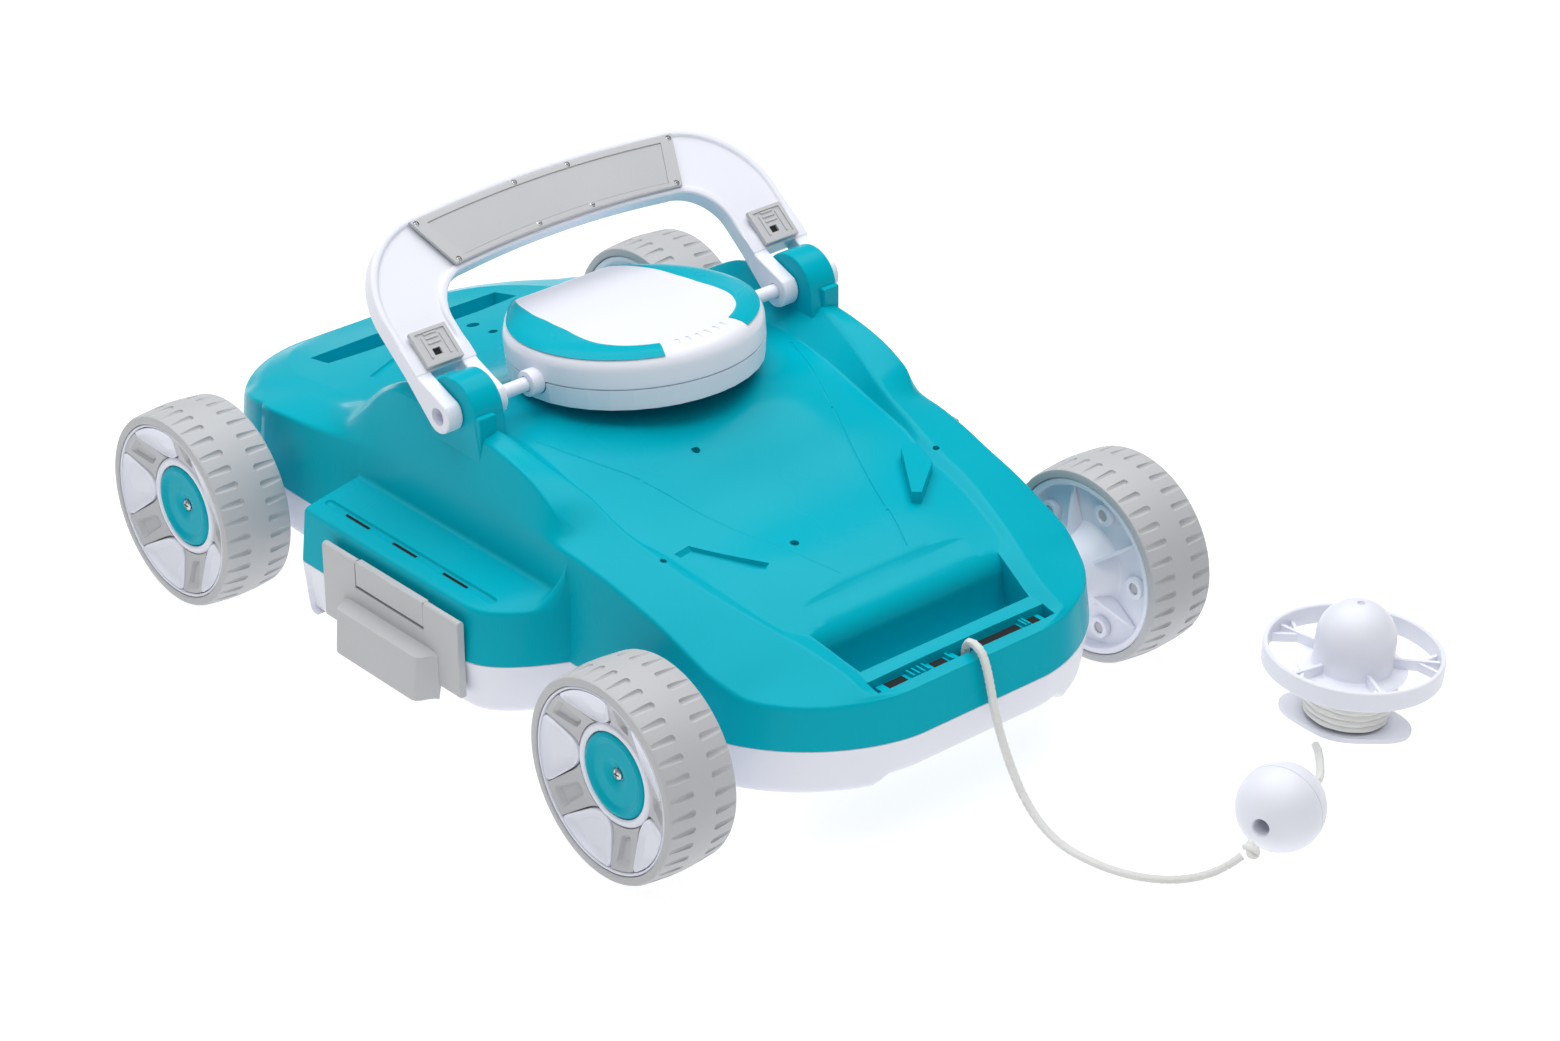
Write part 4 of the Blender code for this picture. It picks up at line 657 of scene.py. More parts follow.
def build_reel(m):
    """Line reel with its ring handle, flange and domed hub, and the rope wound on it."""
    place = reel_place()
    z2 = FLANGE_T + REEL_GAP
    z3 = z2 + 2
    low = z2 + 1
    core = [(0, 0.2), (14.9, 0.2), (14.9, z2), (25.4, z2), (25.9, z2 + 0.5), (25.9, z3 - 0.5), (25.4, z3),
            (20.2, z3), (19.2, z3 + 0.6), (18.8, z3 + 1.8)]
    core += [(18.8 * math.cos(a), z3 + 14 + 18.8 * math.sin(a))
             for a in (math.radians(90 * k / 20) for k in range(19))]
    core += [(1.9, z3 + 32.5), (1.6, z3 + 31.8), (1.5, z3 + 30.6), (0, z3 + 30.4)]
    body = turned(core, 96)
    points = []
    for k in range(96):
        a = 2 * math.pi * k / 96
        r = 21.8 + 10 * abs(math.cos(a)) ** 6
        points.append((r * math.cos(a), r * math.sin(a)))
    flange = soften(prism(points, "Z", 0.15, FLANGE_T), 0.5, 2, 40)
    ring = turned([(REEL_R - 2.5, low + 0.5), (REEL_R - 2.1, low + 0.1), (REEL_R - 0.6, low + 0.1),
                   (REEL_R - 0.1, low + 0.6), (REEL_R - 0.1, low + 9.3), (REEL_R - 0.6, low + 9.8),
                   (REEL_R - 2.1, low + 9.8), (REEL_R - 2.5, low + 9.4)], 120)
    arms = []
    for k in range(5):
        turn = Matrix.Rotation(math.radians(72 * k + 20), 4, "Z")
        arm = block((18, -1.0, low + 0.5), (REEL_R - 1.2, 1.0, low + 6.0), 0.35, 2)
        arms.append(moved(arm, turn))
        for side in (-1, 1):
            knee = Matrix.Translation((30, 0, 0)) @ Matrix.Rotation(side * math.radians(42), 4, "Z")
            knee = knee @ Matrix.Translation((-30, 0, 0))
            prong = block((30, -0.9, low + 0.6), (43.0, 0.9, low + 5.0), 0.3, 2)
            arms.append(moved(prong, turn @ knee))
    shell = carve(body, joined(flange, ring), "UNION")
    trim = turned([(0, low - 3), (REEL_R - 1.0, low - 3), (REEL_R - 1.0, low + 12), (0, low + 12)], 96)
    webs = arms[0]
    for arm in arms[1:]:
        webs = carve(webs, arm, "UNION")
    webs = carve(webs, trim, "INTERSECT")
    shell = carve(shell, webs, "UNION")
    reel_ob = piece("line_reel", moved(shell, place), m["white"], "chassis", ("reel",))

    turns, path = 6, []
    for layer in range(2):
        for k in range(turns * 48 + 1):
            a = 2 * math.pi * k / 48
            share = k / (turns * 48)
            rise = share if layer == 0 else 1 - share
            r = 17.6 + 0.8 * layer + 3.2 * rise * 0.9
            path.append(Vector((r * math.cos(a), r * math.sin(a), FLANGE_T + 2.6 + (REEL_GAP - 5.2) * rise)))
    coil = braided_tube([place @ p for p in path], 2.0, sides=16)
    coil_ob = piece("reel_winding", coil, m["rope"], "chassis", ("rope_winding",), 60)
    return reel_ob, coil_ob


# ---------------------------------------------------------------- top cover
# Heights above the parting line against the share of the half length.
CENTRE_H = ((-0.974, 20), (-0.94, 22.7), (-0.892, 25), (-0.782, 35.5), (-0.684, 43), (-0.594, 48),
            (-0.5, 51), (-0.4, 57), (-0.3, 67), (-0.22, 73.5), (-0.13, 76.5), (0.0, 77), (0.12, 76.5),
            (0.2, 72), (0.32, 58), (0.43, 50), (0.64, 42), (0.81, 33.5), (0.92, 27), (0.974, 24))
VALLEY_H = ((-0.974, 20), (-0.892, 25), (-0.782, 34), (-0.75, 36), (-0.6, 45), (-0.46, 51),
            (-0.36, 56), (-0.26, 62), (-0.13, 70), (0.0, 74), (0.17, 75), (0.3, 67), (0.43, 51),
            (0.6, 43.5), (0.8, 34), (0.92, 28), (0.974, 24))
CREST_H = ((-0.974, 20), (-0.9, 27), (-0.78, 36), (-0.7, 41), (-0.56, 49), (-0.46, 54), (-0.36, 61),
           (-0.29, 68), (-0.17, 78), (-0.05, 86), (0.06, 88), (0.2, 88), (0.3, 78), (0.4, 60),
           (0.5, 48), (0.65, 40), (0.8, 32), (0.92, 26.5), (0.974, 24))
RIDGE_H = ((-0.974, 20), (-0.82, 22), (-0.75, 27.9), (-0.68, 34), (-0.6, 40.8), (-0.51, 46.4),
           (-0.43, 51), (-0.34, 54.2), (-0.2, 55.7), (-0.07, 56.2), (0.12, 53.6), (0.29, 49.8),
           (0.47, 43.7), (0.645, 38.5), (0.8, 30), (0.86, 25), (0.974, 24))
# Distances in from the lug's inner face (valley, crest) and from the flank (ridge).
VALLEY_IN = ((-0.892, 41.6), (-0.782, 36), (-0.75, 28.8), (-0.6, 20.8), (-0.46, 16.8),
             (-0.36, 10.8), (-0.13, 6.8), (0.3, 6.8), (0.43, 8.8), (0.6, 12.8), (0.8, 18.8), (0.92, 26.8))
CREST_IN = ((-0.9, 32.8), (-0.7, 19.8), (-0.56, 12.2), (-0.46, 9.8), (-0.36, 6.8), (-0.29, 5.8),
            (-0.17, -1.2), (-0.05, -6.2), (0.06, -8.2), (0.2, -8.2), (0.3, -6.2), (0.4, -4.2),
            (0.6, -1.2), (0.8, 2.8), (0.92, 12.8))
RIDGE_IN = ((-0.7, 5.8), (-0.6, 4.7), (-0.51, 3.8), (-0.43, 2.4), (-0.34, 1.0), (-0.2, 0.3),
            (0.47, 0.3), (0.64, 1.3), (0.72, 4.0))
# Outer shoulder of the flare, between its crest and the ridge.
HUMP_H = ((-0.36, 53.8), (-0.33, 57), (-0.3, 64), (-0.26, 71), (-0.2, 77.5), (-0.13, 81.5), (-0.05, 84),
          (0.06, 85.5), (0.2, 85.5), (0.27, 79), (0.34, 64), (0.42, 50), (0.5, 43.5))
FRONT_INSET = ((0, 6), (22, 11.5), (38, 18), (50, 25), (60, 33), (70, 47), (80, 58), (90, 69))
REAR_INSET = ((0, 6), (22, 14), (38, 26), (50, 36), (60, 46), (70, 56), (80, 63), (90, 69))
POD_NOSE_Y = -(POD_END + 6.0)
# Points across half a row: rounding at each feature line and samples between them.
ROW_RADII = (12.0, 4.5, 1.2, 2.4, 1.4, 1.8, 1.8, 2.2)
ROW_COUNTS = (7, 6, 1, 4, 4, 5, 5, 4, 5)
RIDGE_AT = sum(ROW_COUNTS[:6]) + 4 * 5      # first sample of the ridge's rounding


def corner(angle, inset_x, half_w, start, square):
    """Superellipse corner: x and distance from the body end."""
    a = math.radians(angle)
    return (inset_x + (half_w - inset_x) * math.sin(a) ** (2 / square),
            start + (69.0 - start) * (1 - max(math.cos(a), 0.0) ** (2 / square)))


def pod_share(y):
    """0 on the plain flank, 1 along the side pod."""
    if y <= POD_NOSE_Y or y >= POD_END:
        return 0.0
    if y > POD_END - 1.6:
        return 0.93
    return 1 - max(0.0, 1 - (y - POD_NOSE_Y) / 36.0) ** 2.2


def row_places():
    """Every row across the body: centre y, ridge point, parting point."""
    ends = []
    for sign, insets in ((-1, FRONT_INSET), (1, REAR_INSET)):
        side = []
        for k in range(31):
            angle = 90 * k / 30
            ridge_x, ridge_d = corner(angle, 40, FLANK - 5.8, 6.0, 1.9)
            part_x, part_d = corner(angle, 36, FLANK - 1.3, 0.0, 1.75)
            side.append((sign * (BODY_HALF - smooth_curve(insets, angle)),
                         (ridge_x, sign * (BODY_HALF - ridge_d)), (part_x, sign * (BODY_HALF - part_d))))
        ends.append(side)
    front, rear = ends
    stops = [-BODY_HALF + 69, POD_NOSE_Y, POD_NOSE_Y + 36, POD_END - 1.6, POD_END, BODY_HALF - 69]
    counts = (24, 20, 34, 1, 24)
    middle = []
    for a, b, n in zip(stops, stops[1:], counts):
        middle += [a + (b - a) * k / n for k in range(1, n + 1)]
    table = list(front)
    for y in middle[:-1]:
        t = y / BODY_HALF
        ridge_x = FLANK - smooth_curve(RIDGE_IN, t)
        wall_x = FLANK + 4.0 * (1 - abs(t)) - 1.3
        table.append((y, (ridge_x, y), (wall_x + pod_share(y) * (POD_X - wall_x), y)))
    return table + rear[::-1]


def cover_row(row):
    """Rounded points of one half row, from the middle to the parting edge."""
    y0, (ridge_x, ridge_y), (part_x, part_y) = row

    def place(x, heights):
        y = y0 + (ridge_y - y0) * (x / ridge_x) ** 2
        return Vector((x, y, PART_Z + smooth_curve(heights, y / BODY_HALF)))

    t = y0 / BODY_HALF
    valley_x = min(LUG_IN - smooth_curve(VALLEY_IN, t), ridge_x * 0.72)
    crest_x = max(min(LUG_IN - smooth_curve(CREST_IN, t), ridge_x * 0.9), valley_x + 4.8)
    points = [place(0.0, CENTRE_H), place(valley_x * 0.55, CENTRE_H), place(valley_x, VALLEY_H),
              place(valley_x + 1.6, VALLEY_H), place(crest_x, CREST_H)]
    ridge = Vector((ridge_x, ridge_y, PART_Z + smooth_curve(RIDGE_H, ridge_y / BODY_HALF)))
    crest = points[-1]
    hump = crest.lerp(ridge, 0.55)
    full = ease(-0.345, -0.27, t) * ease(0.46, 0.36, t)
    shoulder_x = min(ridge_x - 0.9, 107.5)
    hump = hump.lerp(Vector((shoulder_x, y0, PART_Z + smooth_curve(HUMP_H, t))), full)
    points.append(hump)
    part = Vector((part_x, part_y, PART_Z + SEAM))
    share = pod_share(y0)
    shoulder, edge = ridge.lerp(part, 0.35), ridge.lerp(part, 0.7)
    if share > 0:
        shoulder = ridge.lerp(Vector((FLANK + 1.5, y0, PART_Z + 33)), min(1.0, 2 * share))
        edge = Vector((part_x - 3 * share, y0, PART_Z + 27))
    return rounded(points + [ridge, shoulder, edge, part], ROW_RADII, ROW_COUNTS)


def cover_solid():
    """Closed outer body of the cover, flat at the parting line."""
    table = [cover_row(row) for row in row_places()]
    bm = bmesh.new()
    for side in (1, -1):
        grid = [[bm.verts.new(Vector((side * p.x, p.y, p.z)) * MM) for p in row] for row in table]
        for a, b in zip(grid, grid[1:]):
            for i in range(len(a) - 1):
                bm.faces.new((a[i], a[i + 1], b[i + 1], b[i]))
            foot = [bm.verts.new((0, v.co.y, v.co.z)) for v in (a[-1], b[-1])]
            bm.faces.new((a[-1], foot[0], foot[1], b[-1]))
        for row in (grid[0], grid[-1]):
            corner_x = row[RIDGE_AT].co.x
            above = row[:RIDGE_AT + 1]
            for v in row[RIDGE_AT + 1:]:
                below = [bm.verts.new((u.co.x / corner_x * v.co.x, v.co.y, v.co.z)) for u in row[:RIDGE_AT]]
                below.append(v)
                for i in range(RIDGE_AT):
                    bm.faces.new((above[i], above[i + 1], below[i + 1], below[i]))
                above = below
    return closed(bm)


def cover_core():
    """What is taken out of the cover so that it stays a shell over the works."""
    bm = bmesh.new()
    rows = [row for row in row_places()[::2] if -168 < row[0] < 212]
    loops = []
    for row in rows:
        half = cover_row(row)
        sunk = []
        for k in range(0, len(half), 2):
            along = half[min(k + 1, len(half) - 1)] - half[max(k - 1, 0)]
            inward = Vector((along.z, 0, -along.x)).normalized() if k else Vector((0, 0, -1))
            p = half[k] + inward * WALL
            drop = 9 * ease(150, 176, p.y)      # thicker under the rear recess
            sunk.append(Vector((min(max(0.0, p.x), FLANK - 4.0), p.y, max(PART_Z - 5, p.z - drop))))
        sunk.append(Vector((sunk[-1].x, sunk[-1].y, PART_Z - 6)))
        loops.append([Vector((-p.x, p.y, p.z)) for p in sunk[::-1]] + sunk[1:])
    loft(bm, loops)
    return closed(bm)


def cross_bore(radius, side, near, far):
    """Tool for a hole along the handle's axis, from near to far on one side."""
    return rod(radius, (side * near, PIVOT.y, PIVOT.z), (side * far, PIVOT.y, PIVOT.z), 40)


def hinge_lug(side):
    """Half-round hinge ear on the shoulder, with a small block at its front foot."""
    points = [(PIVOT.y + LUG_R * math.cos(a), PIVOT.z + LUG_R * math.sin(a))
              for a in (math.pi * k / 32 for k in range(33))]
    points += [(PIVOT.y - LUG_R - 2.5, PIVOT.z - 14), (PIVOT.y - LUG_R - 3, 124), (PIVOT.y + LUG_R + 3, 124)]
    low, high = sorted((side * LUG_IN, side * LUG_OUT))
    ear = soften(prism(points, "X", low, high), 1.2, 3, 40)
    low, high = sorted((side * (LUG_IN + 6.5), side * (LUG_OUT - 0.6)))
    foot = block((low, PIVOT.y - LUG_R - 2.6, 132), (high, PIVOT.y - LUG_R + 5, 149.5), 1.0, 3)
    return carve(ear, foot, "UNION")


def surface_over(bm):
    """Height of the body under an (x, y) point."""
    tree = BVHTree.FromBMesh(bm)

    def height(x, y):
        hit = tree.ray_cast(Vector((x, y, 400)) * MM, Vector((0, 0, -1)))
        return hit[0].z / MM
    return height


def groove(points, radius, sides=10):
    """Closed tube along points, with round ends, to be cut into a surface."""
    path, _ = spline_points(points, 1.6)
    count = len(path)
    loops, side = [], (path[1] - path[0]).orthogonal()
    caps = [math.radians(15 * k) for k in range(1, 6)]
    for i, p in enumerate(path):
        ahead = (path[min(i + 1, count - 1)] - path[max(i - 1, 0)]).normalized()
        side = (side - ahead * side.dot(ahead)).normalized()
        other = ahead.cross(side)
        spots = [(0.0, radius)]
        if i == 0:
            spots = [(-radius * math.cos(a), radius * math.sin(a)) for a in caps] + spots
        if i == count - 1:
            spots = spots + [(radius * math.cos(a), radius * math.sin(a)) for a in caps[::-1]]
        for shift, r in spots:
            loops.append([p + ahead * shift + side * r * math.cos(2 * math.pi * k / sides)
                          + other * r * math.sin(2 * math.pi * k / sides) for k in range(sides)])
    bm = bmesh.new()
    loft(bm, loops)
    return closed(bm)


def recess_tool():
    """Finger recess in the nose: straight bar side, floor, and a side that rolls up into the hood."""
    roll = [(-186.0 + 14 * (1 - math.cos(a)), 79 + 14 * math.sin(a))
            for a in (math.radians(9 * k) for k in range(10))]
    profile = [(-208.7, 100), (-208.2, 62.5), (-206.6, 60.6), (-204.6, 60.1), (-196.5, 60.1), (-192.4, 60.7),
               (-189.8, 62.8), (-188.4, 66), (-187.2, 71)] + roll + [(-168, 94.5), (-160, 100)]
    bm = bmesh.new()
    loops = []
    for share in (-1, -0.98, -0.94, -0.8, 0, 0.8, 0.94, 0.98, 1):
        lift = max(0.0, abs(share) - 0.94) / 0.06 * 2.5
        loops.append([Vector((share * (51.2 + (y + 208.7) * 0.218), y, z if z > 95 else z + lift * (z < 66)))
                      for y, z in profile])
    loft(bm, loops)
    return closed(bm)


def pocket_tool(side, height):
    """Slanted pocket beside the hood, deepest along its inner edge."""
    corners = [(73.6, -108.4), (64.5, -107.6), (43.2, -138.2), (47.2, -140.6), (70.4, -123.0)]
    loops = []
    mid = Vector((sum(x for x, _ in corners) / 5, sum(y for _, y in corners) / 5))
    for shrink, drop in ((1.0, -6), (1.0, 0.3), (0.9, 2.2), (0.84, 2.5)):
        ring = []
        for x, y in corners:
            p = mid + (Vector((x, y)) - mid) * shrink
            ring.append(Vector((side * p.x, p.y, height(side * x, y) - drop)))
        loops.append(ring)
    bm = bmesh.new()
    loft(bm, loops)
    return closed(bm)


def cover_tools(height):
    """Everything that is cut into the cover's outside."""
    tools = [recess_tool()]
    # rope slot across the nose, wider at its mouth, over a clearance for the guide bar under it
    lip = [(-223.0, 100), (-223.0, 77), (-222.3, 74.5), (-222.3, 67.2), (-223.6, 67.2), (-223.6, 61.6),
           (-215.4, 61.6), (-215.4, 67.2), (-215.7, 67.2), (-215.7, 74.5), (-215.0, 77), (-215.0, 100)]
    tools.append(prism(lip, "X", -53.5, 53.5))
    for side in (-1, 1):
        tools.append(pocket_tool(side, height))
        for points in (((78, -14), (70, -38), (58, -65)), ((57.4, -67.5), (44, -101), (30.6, -133)),
                       ((29.8, -136.5), (25, -149), (20, -160))):
            path, _ = spline_points([(side * x, y, 0) for x, y in points], 4.0)
            lift = 0.15 if side > 0 else 0.55
            tools.append(groove([(p.x, p.y, height(p.x, p.y) + lift) for p in path], 0.75))
        for x, y in ((23.5, -64), (23.5, -133)):
            if side < 0:
                tools.append(rod(2.1, (side * x, y, 92), (side * x, y, 125), 20))
        tools.append(rod(1.6, (side * 82.8, -112, 100), (side * 82.8, -112, 125), 18))
        # long capsule along the pod's slanted top
        path = [(side * 137.2, 69 - 125 * k / 12, 0) for k in range(13)]
        tools.append(groove([(x, y, height(x, y) + 1.1) for x, y, _ in path], 2.5, 12))
        # slanted slot behind the hinge
        path = [(side * (59 - 21 * k / 4), 139 + 11 * k / 4) for k in range(5)]
        tools.append(groove([(x, y, height(x, y) + 0.4) for x, y in path], 2.2, 12))
    for x, y, r in ((16, 158, 3.4), (15, 140, 2.4), (-16, 158, 3.4)):
        tools.append(rod(r, (x, y, height(x, y) - 3.5), (x, y, 130), 24))
    # rear recess: a wide shallow tray
    ring = [(-59, 178), (-34, 175), (34, 175), (59, 178), (58, 195), (22, 197), (-22, 197), (-58, 195)]
    bm = bmesh.new()
    loft(bm, [[Vector((x * k, 186 + (y - 186) * k, height(x, y) - drop)) for x, y in ring]
              for k, drop in ((1.03, -8), (1.0, 0.5), (0.985, 6.2), (0.96, 7.4))])
    tools.append(closed(bm))
    # throat for the jet duct
    tools.append(rod(DUCT_BORE, (0, PUCK_Y, 80), (0, PUCK_Y, 140), 96))
    return tools


def build_cover(props):
    """Teal moulded top cover with its lugs, recesses, slots and screw holes."""
    body = cover_solid()
    for side in (-1, 1):
        body = carve(body, hinge_lug(side), "UNION")
    height = surface_over(body)
    tools = cover_tools(height)
    body = carve(body, cover_core())
    body = carve(body, joined(*tools))
    bores = [cross_bore(PIN_BORE, side, LUG_IN - 3, LUG_OUT + 3) for side in (-1, 1)]
    body = carve(body, joined(*bores))
    piece("cover_shell", body, MATERIALS["teal"], "chassis", ("top_cover",), 28)
    # slotted insert in the rope slot, open round the rope, with dark plates between its ribs that paint the
    # shade in its openings
    mid_y = -BODY_HALF + 15.0
    bars = [block((xa, mid_y - 3.2, 71.8), (xb, mid_y + 3.2, 75.0), 0.3, 2)
            for xa, xb in ((-49.4, -3.2), (7.2, 49.4))]
    piece("rope_slot_insert", joined(*bars), MATERIALS["teal"], "chassis")
    for name, low_x, high_x in (("a", -45, -34), ("b", -18, -10), ("c", 11, 35), ("d", 41.5, 46.5)):
        # each thin dark plate is painted shade where the slot is open
        window = block((low_x, mid_y - 2.6, 74.9), (high_x, mid_y + 2.6, 75.25), 0.1, 2)
        piece("rope_slot_window_" + name, window, MATERIALS["dark"], "chassis")
    ribs = [((x, mid_y, 74.9), (0, 0, 1)) for x in (-31, -28, -25, -22, -8, 9, 37, 39)]
    scatter("rope_slot_ribs", block((-0.6, -3.0, 0), (0.6, 3.0, 1.9), 0.25, 2), ribs, MATERIALS["teal"],
            "chassis")
    # dark plates in the bottom of the pods' capsules, painted shade for open slits
    slit_shade_plates = []
    for side in (-1, 1):
        for y in (46.5, 10, -28.5):
            slit_shade_plates.append(((side * 137.2, y, height(side * 137.2, y) - 1.35), (side * 0.25, 0, 1)))
    scatter("pod_slits", block((-0.8, -9, -0.2), (0.8, 9, 0.35), 0.15, 2), slit_shade_plates, MATERIALS["dark"],
            "chassis")


# ---------------------------------------------------------------- base tray
def tray_outline(inset=0.0, step=1):
    """Parting outline, counter-clockwise from the front centre, pulled in by inset."""
    right = [Vector((0, -BODY_HALF, 0)), Vector((18, -BODY_HALF, 0))]
    right += [Vector((*row[2], 0)) for row in row_places()[::step]]
    right += [Vector((18, BODY_HALF, 0)), Vector((0, BODY_HALF, 0))]
    loop = right + [Vector((-p.x, p.y, 0)) for p in right[-2:0:-1]]
    if not inset:
        return loop
    shifted = []
    for i, p in enumerate(loop):
        along = (loop[(i + 1) % len(loop)] - loop[i - 1]).normalized()
        shifted.append(p + Vector((-along.y, along.x, 0)) * inset)
    return shifted


def tray_ring(z, inset, step=1):
    """One level of the tray: the floor rises a little at the ends, and more between the front feet."""
    ring = []
    for p in tray_outline(inset, step):
        low = ease(50, 28, z)
        rise = 3.0 * (abs(p.y) / BODY_HALF) ** 3
        foot = 4.5 * ease(205, 214, -p.y) * ease(58, 50, abs(p.x))
        ring.append(Vector((p.x, p.y, z + low * (rise + foot))))
    return ring


def build_tray(props):
    """White base tray with its rounded lower edge, feet, bores, mouths and rib lines."""
    top = PART_Z - SEAM
    levels = [(top, 0.25), (top - 0.3, 0.0), (48, 1.0), (40, 2.1), (33.5, 3.1), (31.4, 3.5), (29.8, 4.3),
              (28.7, 5.6), (28.1, 7.6)]
    bm = bmesh.new()
    loft(bm, [tray_ring(z, inset) for z, inset in levels[::-1]])
    body = closed(bm)
    bm = bmesh.new()
    loft(bm, [[Vector((p.x, p.y, z + 2.8 * (z < 35))) for p in tray_ring(z, inset + 3.0, 3)]
              for z, inset in ((28.1, 6.4), (40, 2.4), (60, 0.0))])
    body = carve(body, closed(bm))
    tools = []
    for _, sx, sy in CORNERS:
        y = sy * WHEEL_Y
        tools.append(rod(PIN_BORE, (sx * 83, y, WHEEL_R), (sx * 124, y, WHEEL_R), 32))
    for sy in (-1, 1):
        tools.append(block((-60, sy * 26 - 11, 20), (60, sy * 26 + 11, 36), 1.2, 2))
    tools.append(block((-50.3, BODY_HALF - 12, 33.7), (50.3, BODY_HALF + 5, 49.3)))
    body = carve(body, joined(*tools))
    piece("base_shell", body, MATERIALS["white"], "chassis", ("base_tray",), 28)
    ribs = []
    for sx in (-1, 1):
        for y in (84, 91, 98):
            ribs.append(((sx * 115.2, y, 42), (sx, 0, 0)))
    shape = block((-11, -0.6, -2), (11, 0.6, 0.9), 0.3, 2)
    scatter("tray_ribs", shape, ribs, MATERIALS["white"], "chassis")


# ---------------------------------------------------------------- wheels
TYRE_T, TREAD_GROOVES = 5.8, 36
FACE_IN = 9.0                  # wheel face in from the tyre's side
KNOB_R = 31.5                  # circle of the plugged bosses inside the wheel
FIFTH = 72                     # degrees between spokes


def about_axle(degrees):
    """Turn about a wheel's own axle."""
    return Matrix.Rotation(math.radians(degrees), 4, "Z")


def upright(side, y):
    """Local Z points out of the wheel on that side, at the axle."""
    turn = Matrix.Rotation(math.radians(90 * side), 4, "Y")
    return Matrix.Translation((side * WHEEL_X, y, WHEEL_R)) @ turn


def tread_solid():
    """Tyre band with two staggered rows of capsule grooves, open at the shoulders."""
    half, r, inner = TYRE_W / 2, WHEEL_R, WHEEL_R - TYRE_T
    profile = [(inner + 0.05, -half + 0.5), (inner + 0.5, -half + 0.05), (r - 3.2, -half + 0.05),
               (r - 2.0, -half + 0.5), (r - 1.35, -half + 1.7), (r - 0.75, -half * 0.6),
               (r - 0.3, -half * 0.3), (r - 0.06, 0)]
    profile += [(a, -b) for a, b in profile[-2::-1]]
    body = turned(profile, 144)
    tools = []
    for row in (-1, 1):
        for k in range(TREAD_GROOVES):
            a = 2 * math.pi * (k + (0.5 if row > 0 else 0)) / TREAD_GROOVES
            path = [(0, 0, row * (half + 4)), (0, 0, row * (half - 6)), (0, 0, row * 7.2)]
            tool = groove(path, 1.75, 10)
            squeeze = Matrix.Diagonal((1.0, 1.1, 1.0, 1.0))
            turn = Matrix.Rotation(a, 4, "Z") @ Matrix.Translation((r - 0.15, 0, 0)) @ squeeze
            tools.append(moved(tool, turn))
    return carve(body, joined(*tools))


def rounded_outline(points, radius, arc=5):
    """Closed outline with every corner rounded."""
    out = []
    count = len(points)
    for i, p in enumerate(points):
        p = Vector(p)
        before, after = Vector(points[i - 1]) - p, Vector(points[(i + 1) % count]) - p
        reach = min(radius, 0.48 * before.length, 0.48 * after.length)
        start, end = p + before.normalized() * reach, p + after.normalized() * reach
        for k in range(arc + 1):
            u = k / arc
            out.append(start * (1 - u) ** 2 + p * 2 * u * (1 - u) + end * u * u)
    return out


def wedge(angle, inner, outer, radius, share=1.0):
    """Outline between two radii and two rays, with round corners."""
    points = []
    for k in range(7):
        a = angle * (k / 3 - 1)
        points.append((outer * math.cos(a), outer * math.sin(a)))
    a = angle * share
    points += [(inner * math.cos(a), inner * math.sin(a)), (inner * math.cos(-a), inner * math.sin(-a))]
    return rounded_outline(points, radius)


def dished(outline, low, high, dish, lip):
    """Plate with a raised lip and a dished top."""
    centre = sum(outline, Vector((0, 0))) / len(outline)

    def ring(shrink, z):
        return [Vector((*(centre + (p - centre) * shrink), z)) for p in outline]
    bm = bmesh.new()
    loft(bm, [ring(1.0, low), ring(1.0, high - 0.5), ring(0.985, high), ring(1 - lip, high),
              ring(0.97 - lip, high - 0.4), ring(0.86 - lip, high - 0.55 * dish),
              ring(0.6, high - 0.9 * dish), ring(0.25, high - dish)])
    return closed(bm)


def cone_face(bm):
    """Lift a flat wheel face towards the rim, so that it slopes down to the hub."""
    for v in bm.verts:
        r = math.hypot(v.co.x, v.co.y) / MM
        v.co.z += 7.6 * max(0.0, (r - 25.0) / 18.0) ** 1.15 * MM
    return bm


